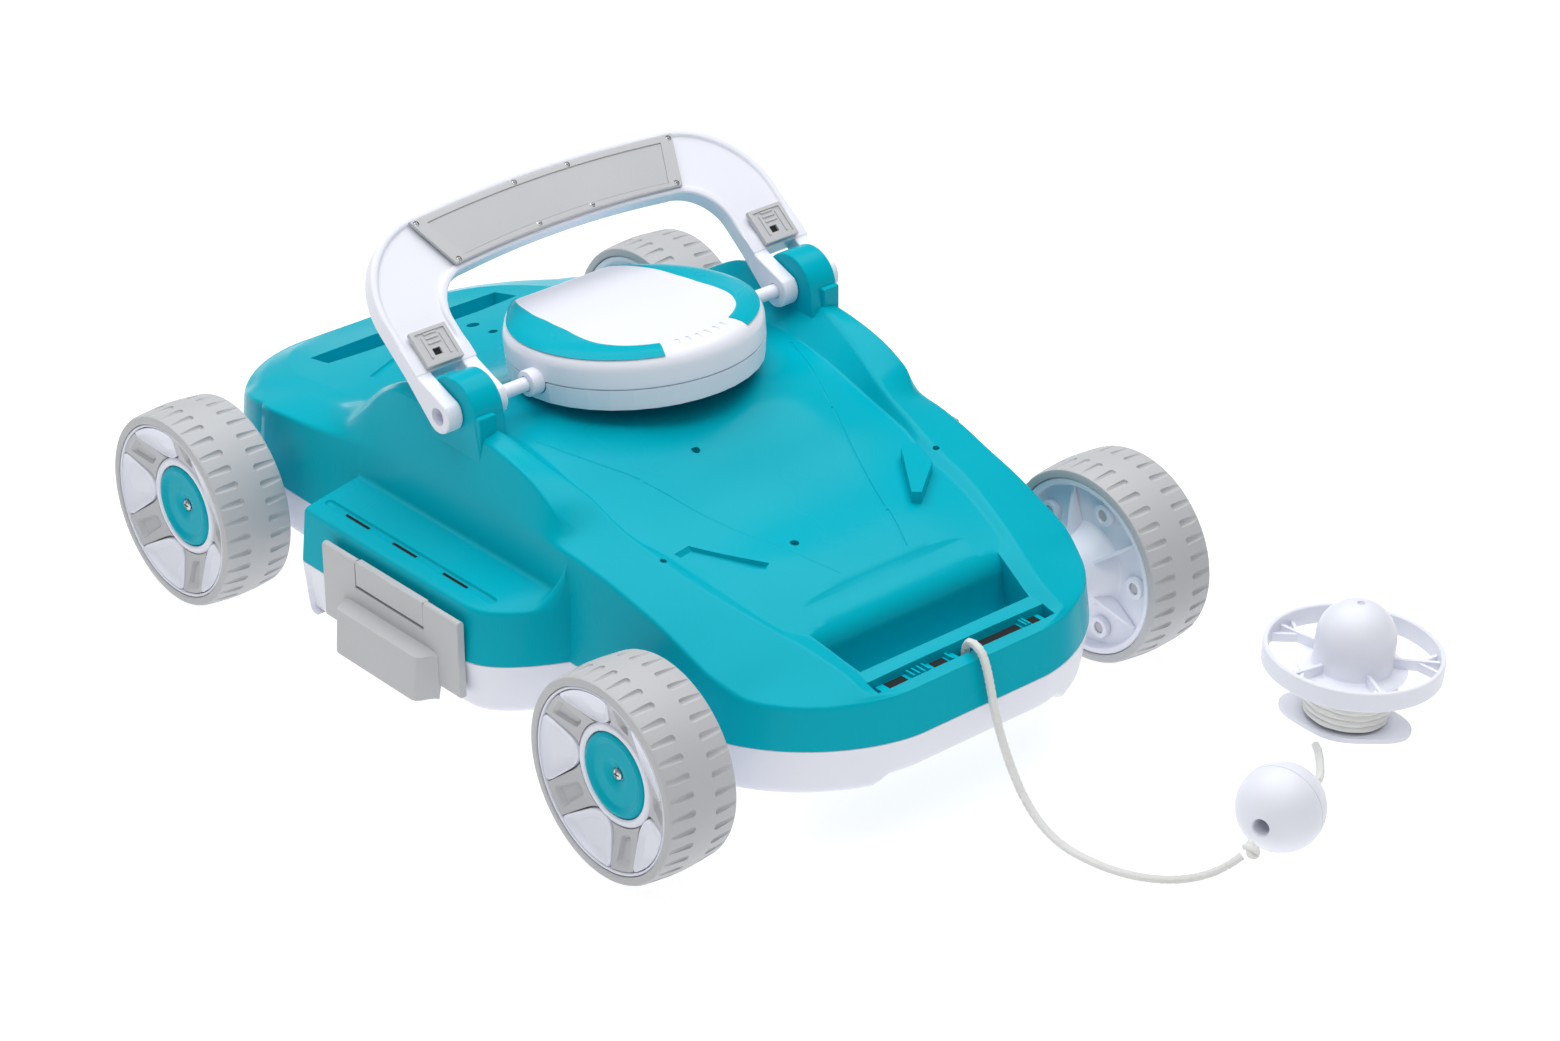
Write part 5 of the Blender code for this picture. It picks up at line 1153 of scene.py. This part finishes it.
def wheel_pieces():
    """Bodies of one wheel in its own frame: tread, white rim, grey spokes, cap, plugs."""
    half = TYRE_W / 2
    face = half - FACE_IN
    rim_r = WHEEL_R - TYRE_T - 0.25
    boss = -(half + 12.6)
    rim = [(6.85, boss + 0.1), (14.4, boss + 0.1), (14.9, boss + 0.6), (16.0, -24), (19.5, -14.5),
           (21.5, -12.9), (36, -12.6), (40.4, -13.2), (40.8, -half + 1.2), (41.4, -half + 0.6),
           (rim_r - 0.5, -half + 0.6), (rim_r, -half + 1.1), (rim_r, half - 1.1), (rim_r - 0.5, half - 0.6),
           (rim_r - 0.9, half - 0.7), (rim_r - 1.3, half - 1.5), (rim_r - 1.6, half - 5.0),
           (36, face - 0.2), (29, face - 2.2), (24.6, face - 2.6), (24.6, face - 0.4), (24.0, face + 0.5),
           (23.2, face + 0.9), (21.6, face + 0.9), (20.75, face + 0.3), (20.65, face - 4.2),
           (6.85, face - 4.2)]
    rim = turned(rim, 120)
    out_to_knob = Matrix.Translation((KNOB_R, 0, 0))
    for k in range(5):
        fin = prism([(15.0, -13), (38.5, -13), (38.5, -13.8), (14.6, -24.5)], "Y", -0.9, 0.9)
        rim = carve(rim, moved(fin, about_axle(FIFTH * k)), "UNION")
        knob = turned([(2.9, -15.6), (3.3, -16.0), (5.0, -16.0), (5.4, -15.6), (5.4, -12.9), (2.9, -12.9)], 36)
        rim = carve(rim, moved(knob, about_axle(FIFTH * k + FIFTH / 2) @ out_to_knob), "UNION")
    radii = [24.9 + (rim_r - 1.8 - 24.9) * k / 8 for k in range(9)]
    spokes = turned([(r, face - 1.9) for r in radii] + [(r, face + 0.4) for r in radii[::-1]], 120)
    petals, holes, clear, plugs = [], [], [], []
    petal = wedge(math.radians(25), 25.4, 42.3, 5.0, 0.5)
    window = wedge(math.radians(25.8), 24.2, 44.5, 5.0, 0.55)
    pocket = rounded_outline([(27.6, -3.3), (40.0, -5.2), (40.0, 5.2), (27.6, 3.3)], 2.0)
    middle = sum(pocket, Vector((0, 0))) / len(pocket)
    plug = [(2.7 * math.cos(a), 2.7 * math.sin(a)) for a in (math.pi * k / 8 for k in range(16))]
    for k in range(5):
        turn, between = about_axle(FIFTH * k), about_axle(FIFTH * k + FIFTH / 2)
        petals.append(cone_face(moved(dished(petal, face - 1.8, face + 0.8, 2.4, 0.05), turn)))
        clear.append(moved(prism([tuple(p) for p in window], "Z", face - 4, face + 4), turn))
        bm = bmesh.new()
        loft(bm, [[Vector((*(middle + (p - middle) * s), z)) for p in pocket]
                  for s, z in ((0.74, face - 1.6), (0.98, face + 0.2), (1.04, face + 0.5), (1.06, face + 2))])
        holes.append(moved(closed(bm), between))
        bm = prism([tuple(p) for p in rounded_outline(plug, 0.4, 1)], "Z", -15.0, -12.8)
        plugs.append(moved(soften(bm, 0.3, 2), between @ out_to_knob))
    grey = cone_face(carve(carve(spokes, joined(*clear)), joined(*holes)))
    cap = [(5.6, face - 3.9), (19.9, face - 3.9), (20.3, face - 3.5), (20.3, face - 0.2), (19.6, face + 0.9),
           (18.2, face + 1.4), (16.8, face + 1.0), (15.6, face + 0.1), (14, face - 0.2), (8.6, face),
           (7.2, face - 0.2), (5.4, face - 0.8), (4.0, face - 1.5), (3.2, face - 1.8), (3.0, face - 2.3),
           (5.6, face - 2.3)]
    return {"tread": tread_solid(), "rim": rim, "petals": joined(*petals), "spokes": joined(grey, *plugs),
            "cap": turned(cap, 96)}


def cross_recess(radius):
    """Driver cross for a screw head, closed."""
    low = block((-radius, -0.22 * radius, -1.2), (radius, 0.22 * radius, 0.6))
    return carve(low, block((-0.22 * radius, -radius, -1.2), (0.22 * radius, radius, 0.6)), "UNION")


def build_wheels(props):
    """Four wheels: ribbed tyre, white rim with five petals, grey spokes, teal cap."""
    m = MATERIALS
    parts = wheel_pieces()
    finish = {"tread": ("tread", "tyre_grey", "tyre_"), "rim": ("white", "body_white", "rim_"),
              "petals": ("white", "body_white", None), "spokes": ("grey", "trim_grey", None),
              "cap": ("teal", "shell_teal", "hub_cap_")}
    for name, sx, sy in CORNERS:
        place = upright(sx, sy * WHEEL_Y) @ Matrix.Rotation(props.wheel_turn, 4, "Z")
        for key, bm in parts.items():
            mat, slot_name, node = finish[key]
            piece("wheel_%s_%s" % (key, name), moved(bm.copy(), place), m[mat], "wheel_" + name,
                  (node + name,) if node else (), 32)
    for bm in parts.values():
        bm.free()
    # one cross-head screw in every cap
    head = carve(turned([(0, -1.0), (2.75, -1.0), (2.75, -0.1), (2.2, 0.45), (1.0, 0.7), (0, 0.75)], 32),
                 moved(cross_recess(1.8), Matrix.Translation((0, 0, 0.5))))
    for name, sx, sy in CORNERS:
        spot = upright(sx, sy * WHEEL_Y) @ Vector((0, 0, TYRE_W / 2 - FACE_IN - 1.25))
        scatter("wheel_screw_" + name, head.copy(), [(spot, (sx, 0, 0))], m["steel"],
                "wheel_" + name)
    head.free()


# ---------------------------------------------------------------- handle
TOP_H, HANDLE_T, FORK_S = 2.5, 9.5, 21.0
INNER_LEG, ARM_OUT = 84.0, 118.6
KEY_X = 101.9                  # middle of each arm, where its slide key sits


def on_handle(x, s, h):
    """Point at x across, s along the handle plane, h above it."""
    c, n = math.cos(LEAN), math.sin(LEAN)
    return Vector((x, PIVOT.y + s * c - h * n, PIVOT.z + s * n + h * c))


def handle_edge(x, reach, radius, start=FORK_S):
    """Right half of one edge of the handle, from the fork to the middle."""
    points = [(x, start + (reach - radius - start) * k / 12) for k in range(12)]
    for k in range(25):
        a = math.pi / 2 * k / 24
        points.append((x - radius * (1 - math.cos(a)), reach - radius * (1 - math.sin(a))))
    end_x = x - radius
    points += [(end_x * (1 - k / 12), reach + 3.5 * (1 - (1 - k / 12) ** 2)) for k in range(1, 13)]
    return points


def build_handle(props):
    """White two-legged handle, its grey grip pad with eight screws and the two slide keys."""
    m = MATERIALS
    outer = handle_edge(ARM_OUT, 97, 47)
    inner = handle_edge(INNER_LEG, 64, 23)
    # across the bar: share of its width, height of the top face
    low = TOP_H - HANDLE_T
    section = [(0.0, low + 1.6), (0.012, low + 0.5), (0.045, low), (0.5, low), (0.955, low),
               (0.988, low + 0.5), (1.0, low + 1.6), (1.0, TOP_H - 0.9), (0.985, TOP_H - 0.25),
               (0.96, TOP_H), (0.925, TOP_H), (0.905, TOP_H - 0.3), (0.885, TOP_H - 1.1),
               (0.84, TOP_H - 1.35), (0.5, TOP_H - 1.35),
               (0.16, TOP_H - 1.35), (0.115, TOP_H - 1.1), (0.095, TOP_H - 0.3), (0.075, TOP_H),
               (0.04, TOP_H), (0.015, TOP_H - 0.25), (0.0, TOP_H - 0.9)]
    loops = []
    for k in range(len(outer)):
        (xo, so), (xi, si) = outer[k], inner[k]
        fill = ease(40, 30, so) if so < 45 else 0.0
        loops.append([on_handle(xo + (xi - xo) * t, so + (si - so) * t,
                                h + (TOP_H - h) * fill * (h > TOP_H - 1.5)) for t, h in section])
    whole = loops + [[Vector((-p.x, p.y, p.z)) for p in loop] for loop in loops[-2::-1]]
    bm = bmesh.new()
    loft(bm, whole)
    frame_bm = closed(bm)
    for side in (-1, 1):
        for x0, x1 in ((LUG_OUT + 0.3, ARM_OUT - 0.05), (INNER_LEG + 0.05, LUG_IN - 0.3)):
            arc = [(8.45 * math.cos(a), 8.45 * math.sin(a))
                   for a in (math.radians(90 + 7.5 * k) for k in range(25))]
            sketch = arc + [(FORK_S + 4, low + 0.3), (FORK_S + 4, TOP_H - 0.2), (FORK_S - 2, TOP_H - 0.2)]
            a, b = sorted((side * x0, side * x1))
            leg = soften(prism([tuple(on_handle(0, s, h).yz) for s, h in sketch], "X", a, b), 0.9, 3, 50)
            frame_bm = carve(frame_bm, leg, "UNION")
        mouth = cross_bore(4.4, side, ARM_OUT - 7, ARM_OUT + 3)
        frame_bm = carve(carve(frame_bm, mouth), cross_bore(PIN_BORE, side, INNER_LEG - 3, ARM_OUT + 1))
        mid = side * KEY_X
        a, b = sorted((mid - 4.7, mid + 4.7))
        bm = bmesh.new()
        loft(bm, [[on_handle(x, s, h) for x, s in ((a, 25), (b, 25), (b, 40.9), (a, 40.9))] for h in (-9, 6)])
        frame_bm = carve(frame_bm, closed(bm))
    piece("handle_bow", frame_bm, m["white"], "handle", ("handle_frame",), 30)

    # grip pad: lipped plate with a textured field let into it
    def pad_grid(half_out, half_in, s_out, s_in, bow, low_h, high_h, bevel):
        rows = []
        for k in range(41):
            t = 2 * k / 40 - 1
            rise = (1 - t * t) * bow
            row = []
            for share, h in ((0, low_h), (0, high_h - bevel), (0.012, high_h - 0.3 * bevel),
                             (0.03, high_h), (0.5, high_h), (0.97, high_h),
                             (0.988, high_h - 0.3 * bevel), (1, high_h - bevel), (1, low_h)):
                x = t * (half_out + (half_in - half_out) * share)
                row.append(on_handle(x, s_out + (s_in - s_out) * share + rise, h))
            rows.append(row)
        bm = bmesh.new()
        loft(bm, rows)
        return closed(bm)
    pad = pad_grid(79, 68, 93.4, 65.6, 3.5, TOP_H + 0.3, TOP_H + 1.95, 0.5)
    field = pad_grid(70.5, 61.5, 90.2, 68.8, 3.5, TOP_H + 1.35, TOP_H + 3.5, 0.2)
    pad = carve(pad, field)
    spots = [(x, s) for x, s in ((76, 91.2), (65.8, 67.8), (16, 95.2), (16, 71.4))]
    spots = spots + [(-x, s) for x, s in spots]
    recess = [rod(1.5, on_handle(x, s, TOP_H + 0.9), on_handle(x, s, TOP_H + 4), 20) for x, s in spots]
    pad = carve(pad, joined(*recess))
    piece("grip_plate", pad, m["grey"], "handle", ("grip_pad",), 30)
    inset = pad_grid(70.3, 61.3, 90.0, 69.0, 3.5, TOP_H + 0.75, TOP_H + 1.5, 0.25)
    piece("grip_field", inset, m["field"], "handle")
    head = carve(turned([(0, 0), (1.3, 0), (1.3, 0.45), (1.0, 0.7), (0, 0.75)], 24),
                 moved(cross_recess(0.9), Matrix.Translation((0, 0, 0.7))))
    up = on_handle(0, 0, 1) - on_handle(0, 0, 0)
    scatter("grip_screws", head, [(on_handle(x, s, TOP_H + 0.95), up) for x, s in spots], m["steel"],
            "handle")
    for label, side in SIDES:
        build_key(m, label, side)
        pin = rod(3.45, (side * (PUCK_R + 0.6), PIVOT.y, PIVOT.z), (side * 112.0, PIVOT.y, PIVOT.z), 40, 0.5)
        piece("hinge_pin_" + label, pin, m["white"], "chassis", ("pivot_pin_" + label,), 30)


def build_key(m, label, side):
    """Square slide key: raised frame, ribs and a small slot, on a tongue through the arm."""
    mid, start, end = side * KEY_X, 21.8, 40.9

    def slab(x, s, lo, hi, bevel=0.4):
        bm = bmesh.new()
        loft(bm, [[on_handle(mid + a * x[b], s[c], h) for a, b, c in
                   ((1, 0, 0), (1, 1, 0), (1, 1, 1), (1, 0, 1))] for h in (lo, hi)])
        return soften(closed(bm), bevel, 2, 40)
    body = slab((-10.4, 10.4), (start, end), TOP_H + 0.3, TOP_H + 2.95, 0.6)
    body = carve(body, slab((-8.2, 8.2), (start + 2.4, end - 2.0), TOP_H + 2.3, TOP_H + 5, 0.2))
    for x, s0, s1 in ((-5.2, 25.6, 37), (5.2, 25.6, 37)):
        body = carve(body, slab((x - 0.55, x + 0.55), (s0, s1), TOP_H + 2.0, TOP_H + 2.85, 0.2), "UNION")
    for s in (33.0, 35.6, 38.0):
        body = carve(body, slab((-3.6, 3.6), (s - 0.5, s + 0.5), TOP_H + 2.0, TOP_H + 2.85, 0.2), "UNION")
    body = carve(body, slab((-3.2, 1.2), (26.6, 30.2), TOP_H + 1.2, TOP_H + 5, 0.2))
    tongue = slab((-4.2, 4.2), (start + 4.2, end - 6.2), TOP_H - 5, TOP_H + 1.0, 0.3)
    body = carve(body, tongue, "UNION")
    piece("slide_key_cap_" + label, body, m["grey"], "slide_key_%s_body" % label,
          ("slide_key_" + label,), 30)
    well = slab((-3.0, 1.0), (26.8, 30.0), TOP_H + 1.25, TOP_H + 1.5, 0.1)
    piece("slide_key_slot_" + label, well, m["dark"], "slide_key_%s_body" % label)


# ---------------------------------------------------------------- puck
CRESCENT_OUT = 59.9
# width of a crescent from its front end to its point at the chin
CRESCENT_WIDTH = ((0.0, 10.0), (0.12, 10.6), (0.26, 13.0), (0.4, 17.5), (0.52, 20.0), (0.66, 18.5),
                  (0.8, 12.5), (0.92, 5.5), (1.0, 0.8))


def puck_outline(bm):
    """Push a round piece of the puck out to its plan: a circle with a straight chin between two corners."""
    for v in bm.verts:
        x, y = abs(v.co.x), v.co.y
        if y <= 0 or x + y < 1e-6:
            continue
        angle = math.degrees(math.atan2(y, x))
        reach = PUCK_R + (CHIN_CORNER - PUCK_R) * ease(42.0, CHIN_ANGLE, angle)
        if angle > CHIN_ANGLE:
            reach = CHIN_Y / math.sin(math.radians(angle))
        v.co.x *= reach / PUCK_R
        v.co.y *= reach / PUCK_R
    return bm


def build_puck(props):
    """White jet puck with its chin flat, parting groove, drip marks and two teal crescents."""
    m = MATERIALS
    pivot = Matrix.Translation(PIVOT)
    tilt = pivot @ Matrix.Rotation(-PUCK_TILT, 4, "X") @ pivot.inverted()
    place = tilt @ Matrix.Translation((0, PUCK_Y, PUCK_Z))
    r, low, high = PUCK_R - 0.05, 10.35, 28.0
    # the top's crown, from its middle out to where it turns down
    dome = [(0, high - 0.05), (r - 40, high - 0.15), (r - 25, high - 0.4), (r - 13, high - 0.85),
            (r - 8.0, high - 1.5), (r - 5.0, high - 2.3), (r - 2.9, high - 3.5)]
    crown = [(0, low), (r - 0.6, low), (r - 0.1, low + 0.5), (r, low + 1.2), (r, high - 9.2),
             (r - 0.35, high - 7.3), (r - 1.3, high - 5.3)] + dome[::-1]
    shell = turned(crown, 160)
    hollow = turned([(0, low - 5), (r - 2.4, low - 5), (r - 2.4, high - 10), (r - 5, high - 5.6),
                     (r - 14, high - 3.4), (0, high - 2.6)], 96)
    shell = carve(puck_outline(shell), puck_outline(hollow))
    inner_x = math.sqrt(r * r - 9) - 1.2
    for side in (-1, 1):
        boss = rod(6.4, (side * inner_x, -3, 10), (side * (PUCK_R + 5.9), -3, 10), 40, 0.8)
        shell = carve(shell, boss, "UNION")
    bores = [rod(PIN_BORE, (side * (PUCK_R - 6), -3, 10), (side * (PUCK_R + 10), -3, 10), 32)
             for side in (-1, 1)]
    shell = carve(shell, joined(*bores))
    drips = []
    for k in range(6):
        a = math.radians(-90 - 15 + 6.2 * k)
        spot = Vector((51.5 * math.cos(a), 51.5 * math.sin(a), high - 0.95))
        out = Vector((math.cos(a), math.sin(a), -0.05))
        drips.append(groove([spot - out * 1.5, spot, spot + out * 1.5], 0.95, 10))
    shell = carve(shell, joined(*drips))
    piece("puck_crown", moved(shell, place), m["white"], "puck", ("puck_shell",), 30)
    for label, side in SIDES:
        loops = []
        for k in range(61):
            t = k / 60
            a = math.radians(-65.5 + 128.5 * t)
            wide = smooth_curve(CRESCENT_WIDTH, t)
            top, bottom = [], []
            for q in range(11):
                reach = CRESCENT_OUT - wide * q / 10
                p = Vector((side * reach * math.cos(a), reach * math.sin(a), smooth_curve(dome, reach)))
                top.append(p + Vector((0, 0, 0.42 if min(q, 10 - q) else 0.12)))
                bottom.append(p + Vector((0, 0, 0.03)))
            loops.append(top + bottom[::-1])
        bm = bmesh.new()
        loft(bm, loops)
        cres = puck_outline(closed(bm))
        piece("puck_crescent_" + label, moved(cres, place), m["teal"], "puck",
              ("crescent_" + label,), 40)


# ---------------------------------------------------------------- side latches
def build_latches(props):
    """Grey side latches with their pull lip, and the fixed tab each one closes round."""
    m = MATERIALS
    x0, x1 = POD_X + 0.35, POD_X + 4.45
    top, low = 76.5, 37.05
    for label, side in SIDES:
        def at(points):
            return [(side * x, z) for x, z in points]
        sketch = [(x0 + 0.5, low), (x1 - 0.9, low), (x1, low + 0.9), (x1, LATCH_PIVOT.z)]
        sketch += [(x0 + 2.05 + 2.05 * math.cos(a), LATCH_PIVOT.z + 2.05 * math.sin(a))
                   for a in (math.pi * k / 12 for k in range(1, 12))]
        sketch += [(x0, LATCH_PIVOT.z), (x0, low + 0.5)]

        def slab(points, half, bevel=0.0):
            bm = bmesh.new()
            loft(bm, [[Vector((x, y, z)) for x, z in at(points)] for y in (-half, half)])
            bm = closed(bm)
            return soften(bm, bevel, 3, 50) if bevel else bm
        body = slab(sketch, 51.95, 0.5)
        hang, shelf = low - 6.5, low + 17.5

        def lip_loop(y, shrink, points):
            return [Vector((side * (x1 + (x - x1) * (shrink if x > x1 else 1.0)), y, z)) for x, z in points]
        lip = [(x1 - 1, shelf), (x1 + 8.6, shelf - 1.8), (x1 + 10.4, hang), (x1 + 7.6, hang), (x1 - 1, low)]
        bm = bmesh.new()
        ends = ((36.5, 0.04), (35.0, 0.14), (33.4, 0.42), (32.0, 0.74), (30.6, 0.93), (28.5, 1.0))
        near = [lip_loop(-y, shrink, lip) for y, shrink in ends]
        far = [lip_loop(y, shrink, lip) for y, shrink in ends[::-1]]
        loft(bm, near + far)
        body = carve(body, soften(closed(bm), 1.0, 3, 38), "UNION")
        # finger hollow behind the lip, open below
        hollow = [(x1 + 0.5, hang - 3), (x1 + 0.5, shelf - 7), (x1 + 6.0, shelf - 7), (x1 + 8.0, hang - 3)]
        bm = bmesh.new()
        loft(bm, [lip_loop(y, 1.0, hollow) for y in (-27, 27)])
        body = carve(body, closed(bm))
        a, b = sorted((side * (x0 - 2), side * (x1 + 2)))
        body = carve(body, block((a, -26.3, top - 14.2), (b, 26.3, top + 2)))
        hinge = [Vector((side * LATCH_PIVOT.x, y, LATCH_PIVOT.z)) for y in (-46, 46)]
        body = carve(body, rod(1.3, hinge[0], hinge[1], 24))
        piece("side_latch_plate_" + label, body, m["grey"], "side_latch_%s_body" % label,
              ("side_latch_" + label,), 30)
        a, b = sorted((side * x0, side * (x1 - 0.05)))
        tab = block((a, -25.95, top - 12.95), (b, 25.95, top - 0.1), 0.6, 3)
        tab = carve(tab, rod(1.3, hinge[0], hinge[1], 24))
        piece("latch_tab_" + label, tab, m["grey"], "chassis", ("latch_block_" + label,), 30)


# ---------------------------------------------------------------- works inside and rear panel
def build_works(props):
    """Finishes of the carried-over works: filter, pump, flaps, pins, guide, panel, button and cap."""
    m = MATERIALS
    finish = {"teal": ("slot_guide", "power_button"),
              "white": ("puck_skirt", "jet_duct", "impeller"),
              "grey": ("rear_panel", "filter_frame", "pump_housing",
                       *("bush_" + name for name, _, _ in CORNERS)),
              "steel": ("latch_pin_left", "latch_pin_right", "pump_motor",
                        *("axle_pin_" + name for name, _, _ in CORNERS)),
              "rubber": ("battery_pack", "suction_flap_front", "suction_flap_rear", "suction_skirt",
                         "charge_cap"),
              "mesh": ("filter_screen",)}
    for key, names in finish.items():
        for name in names:
            data = bpy.data.objects[name].data
            data.materials.clear()
            data.materials.append(m[key])
    # four small case screws beside the switch panel
    low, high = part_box("rear_panel")
    face = high.y / MM
    head = carve(turned([(0, 0.05), (1.9, 0.05), (1.9, 0.6), (1.4, 0.95), (0, 1.0)], 28),
                 moved(cross_recess(1.3), Matrix.Translation((0, 0, 0.8))))
    z = (low.z + high.z) / 2 / MM
    spots = [((x, face, z + dz), (0, 1, 0)) for x in (-45, 45) for dz in (-4.2, 4.2)]
    scatter("panel_screws", head, spots, m["steel"], "chassis")


# ---------------------------------------------------------------- properties
class ShellProps(bpy.types.PropertyGroup):
    """Colours of the mouldings."""
    teal: FloatVectorProperty(name="Teal", description="Colour of the cover and crescents",
                              subtype="COLOR", size=3, default=(0.0, 0.69, 0.77), min=0, max=1)
    white: FloatVectorProperty(name="White", description="Colour of the white mouldings",
                               subtype="COLOR", size=3, default=(0.93, 0.938, 0.975), min=0, max=1)
    grey: FloatVectorProperty(name="Grey", description="Colour of the grey trim",
                              subtype="COLOR", size=3, default=(0.765, 0.77, 0.782), min=0, max=1)


class StageProps(bpy.types.PropertyGroup):
    """Light of the studio."""
    key: FloatProperty(name="Key light", description="Power of the key light", default=5.0, unit="POWER")
    side: FloatProperty(name="Side light", description="Power of the side light", default=2.5, unit="POWER")
    top: FloatProperty(name="Top light", description="Power of the overhead light", default=94.0,
                       unit="POWER")
    fill: FloatProperty(name="Fill", description="Strength of the white surroundings", default=0.2)
    floor_glow: FloatProperty(name="Floor glow", description="Light given off by the backlit floor",
                              default=0.84)


class RopeProps(bpy.types.PropertyGroup):
    """Sizes of the pull rope."""
    rope_diameter: FloatProperty(name="Rope diameter", description="Diameter of the pull rope",
                                 default=0.004, unit="LENGTH")


class WheelProps(bpy.types.PropertyGroup):
    """How the wheels stand."""
    wheel_turn: FloatProperty(name="Wheel turn", description="Turn of the petals about the axle",
                              default=math.radians(18.0), subtype="ANGLE")


# ---------------------------------------------------------------- operators
class POOL_OT_stage(bpy.types.Operator):
    """Make the materials, the floor, the lights and the camera"""
    bl_idname = "pool.stage"
    bl_label = "Stage"

    def execute(self, context):
        make_materials(context.scene.pool_shell)
        build_stage(context.scene.pool_stage)
        return {"FINISHED"}


class POOL_OT_rope(bpy.types.Operator):
    """Make the pull rope, float ball and reel"""
    bl_idname = "pool.rope"
    bl_label = "Pull rope"

    def execute(self, context):
        build_rope(context.scene.pool_rope)
        return {"FINISHED"}


class POOL_OT_cover(bpy.types.Operator):
    """Make the teal top cover"""
    bl_idname = "pool.cover"
    bl_label = "Top cover"

    def execute(self, context):
        build_cover(context.scene.pool_shell)
        return {"FINISHED"}


class POOL_OT_tray(bpy.types.Operator):
    """Make the white base tray"""
    bl_idname = "pool.tray"
    bl_label = "Base tray"

    def execute(self, context):
        build_tray(context.scene.pool_shell)
        return {"FINISHED"}


class POOL_OT_wheels(bpy.types.Operator):
    """Make the four wheels"""
    bl_idname = "pool.wheels"
    bl_label = "Wheels"

    def execute(self, context):
        build_wheels(context.scene.pool_wheels)
        return {"FINISHED"}


class POOL_OT_handle(bpy.types.Operator):
    """Make the handle, grip pad and slide keys"""
    bl_idname = "pool.handle"
    bl_label = "Handle"

    def execute(self, context):
        build_handle(context.scene.pool_shell)
        return {"FINISHED"}


class POOL_OT_puck(bpy.types.Operator):
    """Make the jet puck and its crescents"""
    bl_idname = "pool.puck"
    bl_label = "Jet puck"

    def execute(self, context):
        build_puck(context.scene.pool_shell)
        return {"FINISHED"}


class POOL_OT_latches(bpy.types.Operator):
    """Make the side latches and their fixed tabs"""
    bl_idname = "pool.latches"
    bl_label = "Side latches"

    def execute(self, context):
        build_latches(context.scene.pool_shell)
        return {"FINISHED"}


class POOL_OT_works(bpy.types.Operator):
    """Finish the works inside and the rear panel"""
    bl_idname = "pool.works"
    bl_label = "Works"

    def execute(self, context):
        build_works(context.scene.pool_shell)
        return {"FINISHED"}


OPERATORS = (POOL_OT_stage, POOL_OT_rope, POOL_OT_cover, POOL_OT_tray, POOL_OT_wheels, POOL_OT_handle,
             POOL_OT_puck, POOL_OT_latches, POOL_OT_works)
GROUPS = (("pool_shell", ShellProps), ("pool_stage", StageProps), ("pool_rope", RopeProps),
          ("pool_wheels", WheelProps))


class POOL_PT_panel(bpy.types.Panel):
    """Sizes, colours and builders of the pool cleaner"""
    bl_label = "Pool cleaner"
    bl_idname = "POOL_PT_panel"
    bl_space_type = "VIEW_3D"
    bl_region_type = "UI"
    bl_category = "Pool cleaner"

    def draw(self, context):
        for name, group in GROUPS:
            box = self.layout.box()
            for key in group.__annotations__:
                box.prop(getattr(context.scene, name), key)
        for cls in OPERATORS:
            self.layout.operator(cls.bl_idname)


def register():
    for name, group in GROUPS:
        bpy.utils.register_class(group)
        setattr(bpy.types.Scene, name, PointerProperty(type=group))
    for cls in (*OPERATORS, POOL_PT_panel):
        bpy.utils.register_class(cls)


def unregister():
    for cls in (POOL_PT_panel, *OPERATORS[::-1]):
        bpy.utils.unregister_class(cls)
    for name, group in GROUPS[::-1]:
        delattr(bpy.types.Scene, name)
        bpy.utils.unregister_class(group)


def main():
    register()
    for build in (bpy.ops.pool.stage, bpy.ops.pool.rope, bpy.ops.pool.cover, bpy.ops.pool.tray,
                  bpy.ops.pool.wheels, bpy.ops.pool.handle, bpy.ops.pool.puck, bpy.ops.pool.latches,
                  bpy.ops.pool.works):
        build()


if __name__ == "__main__":
    main()
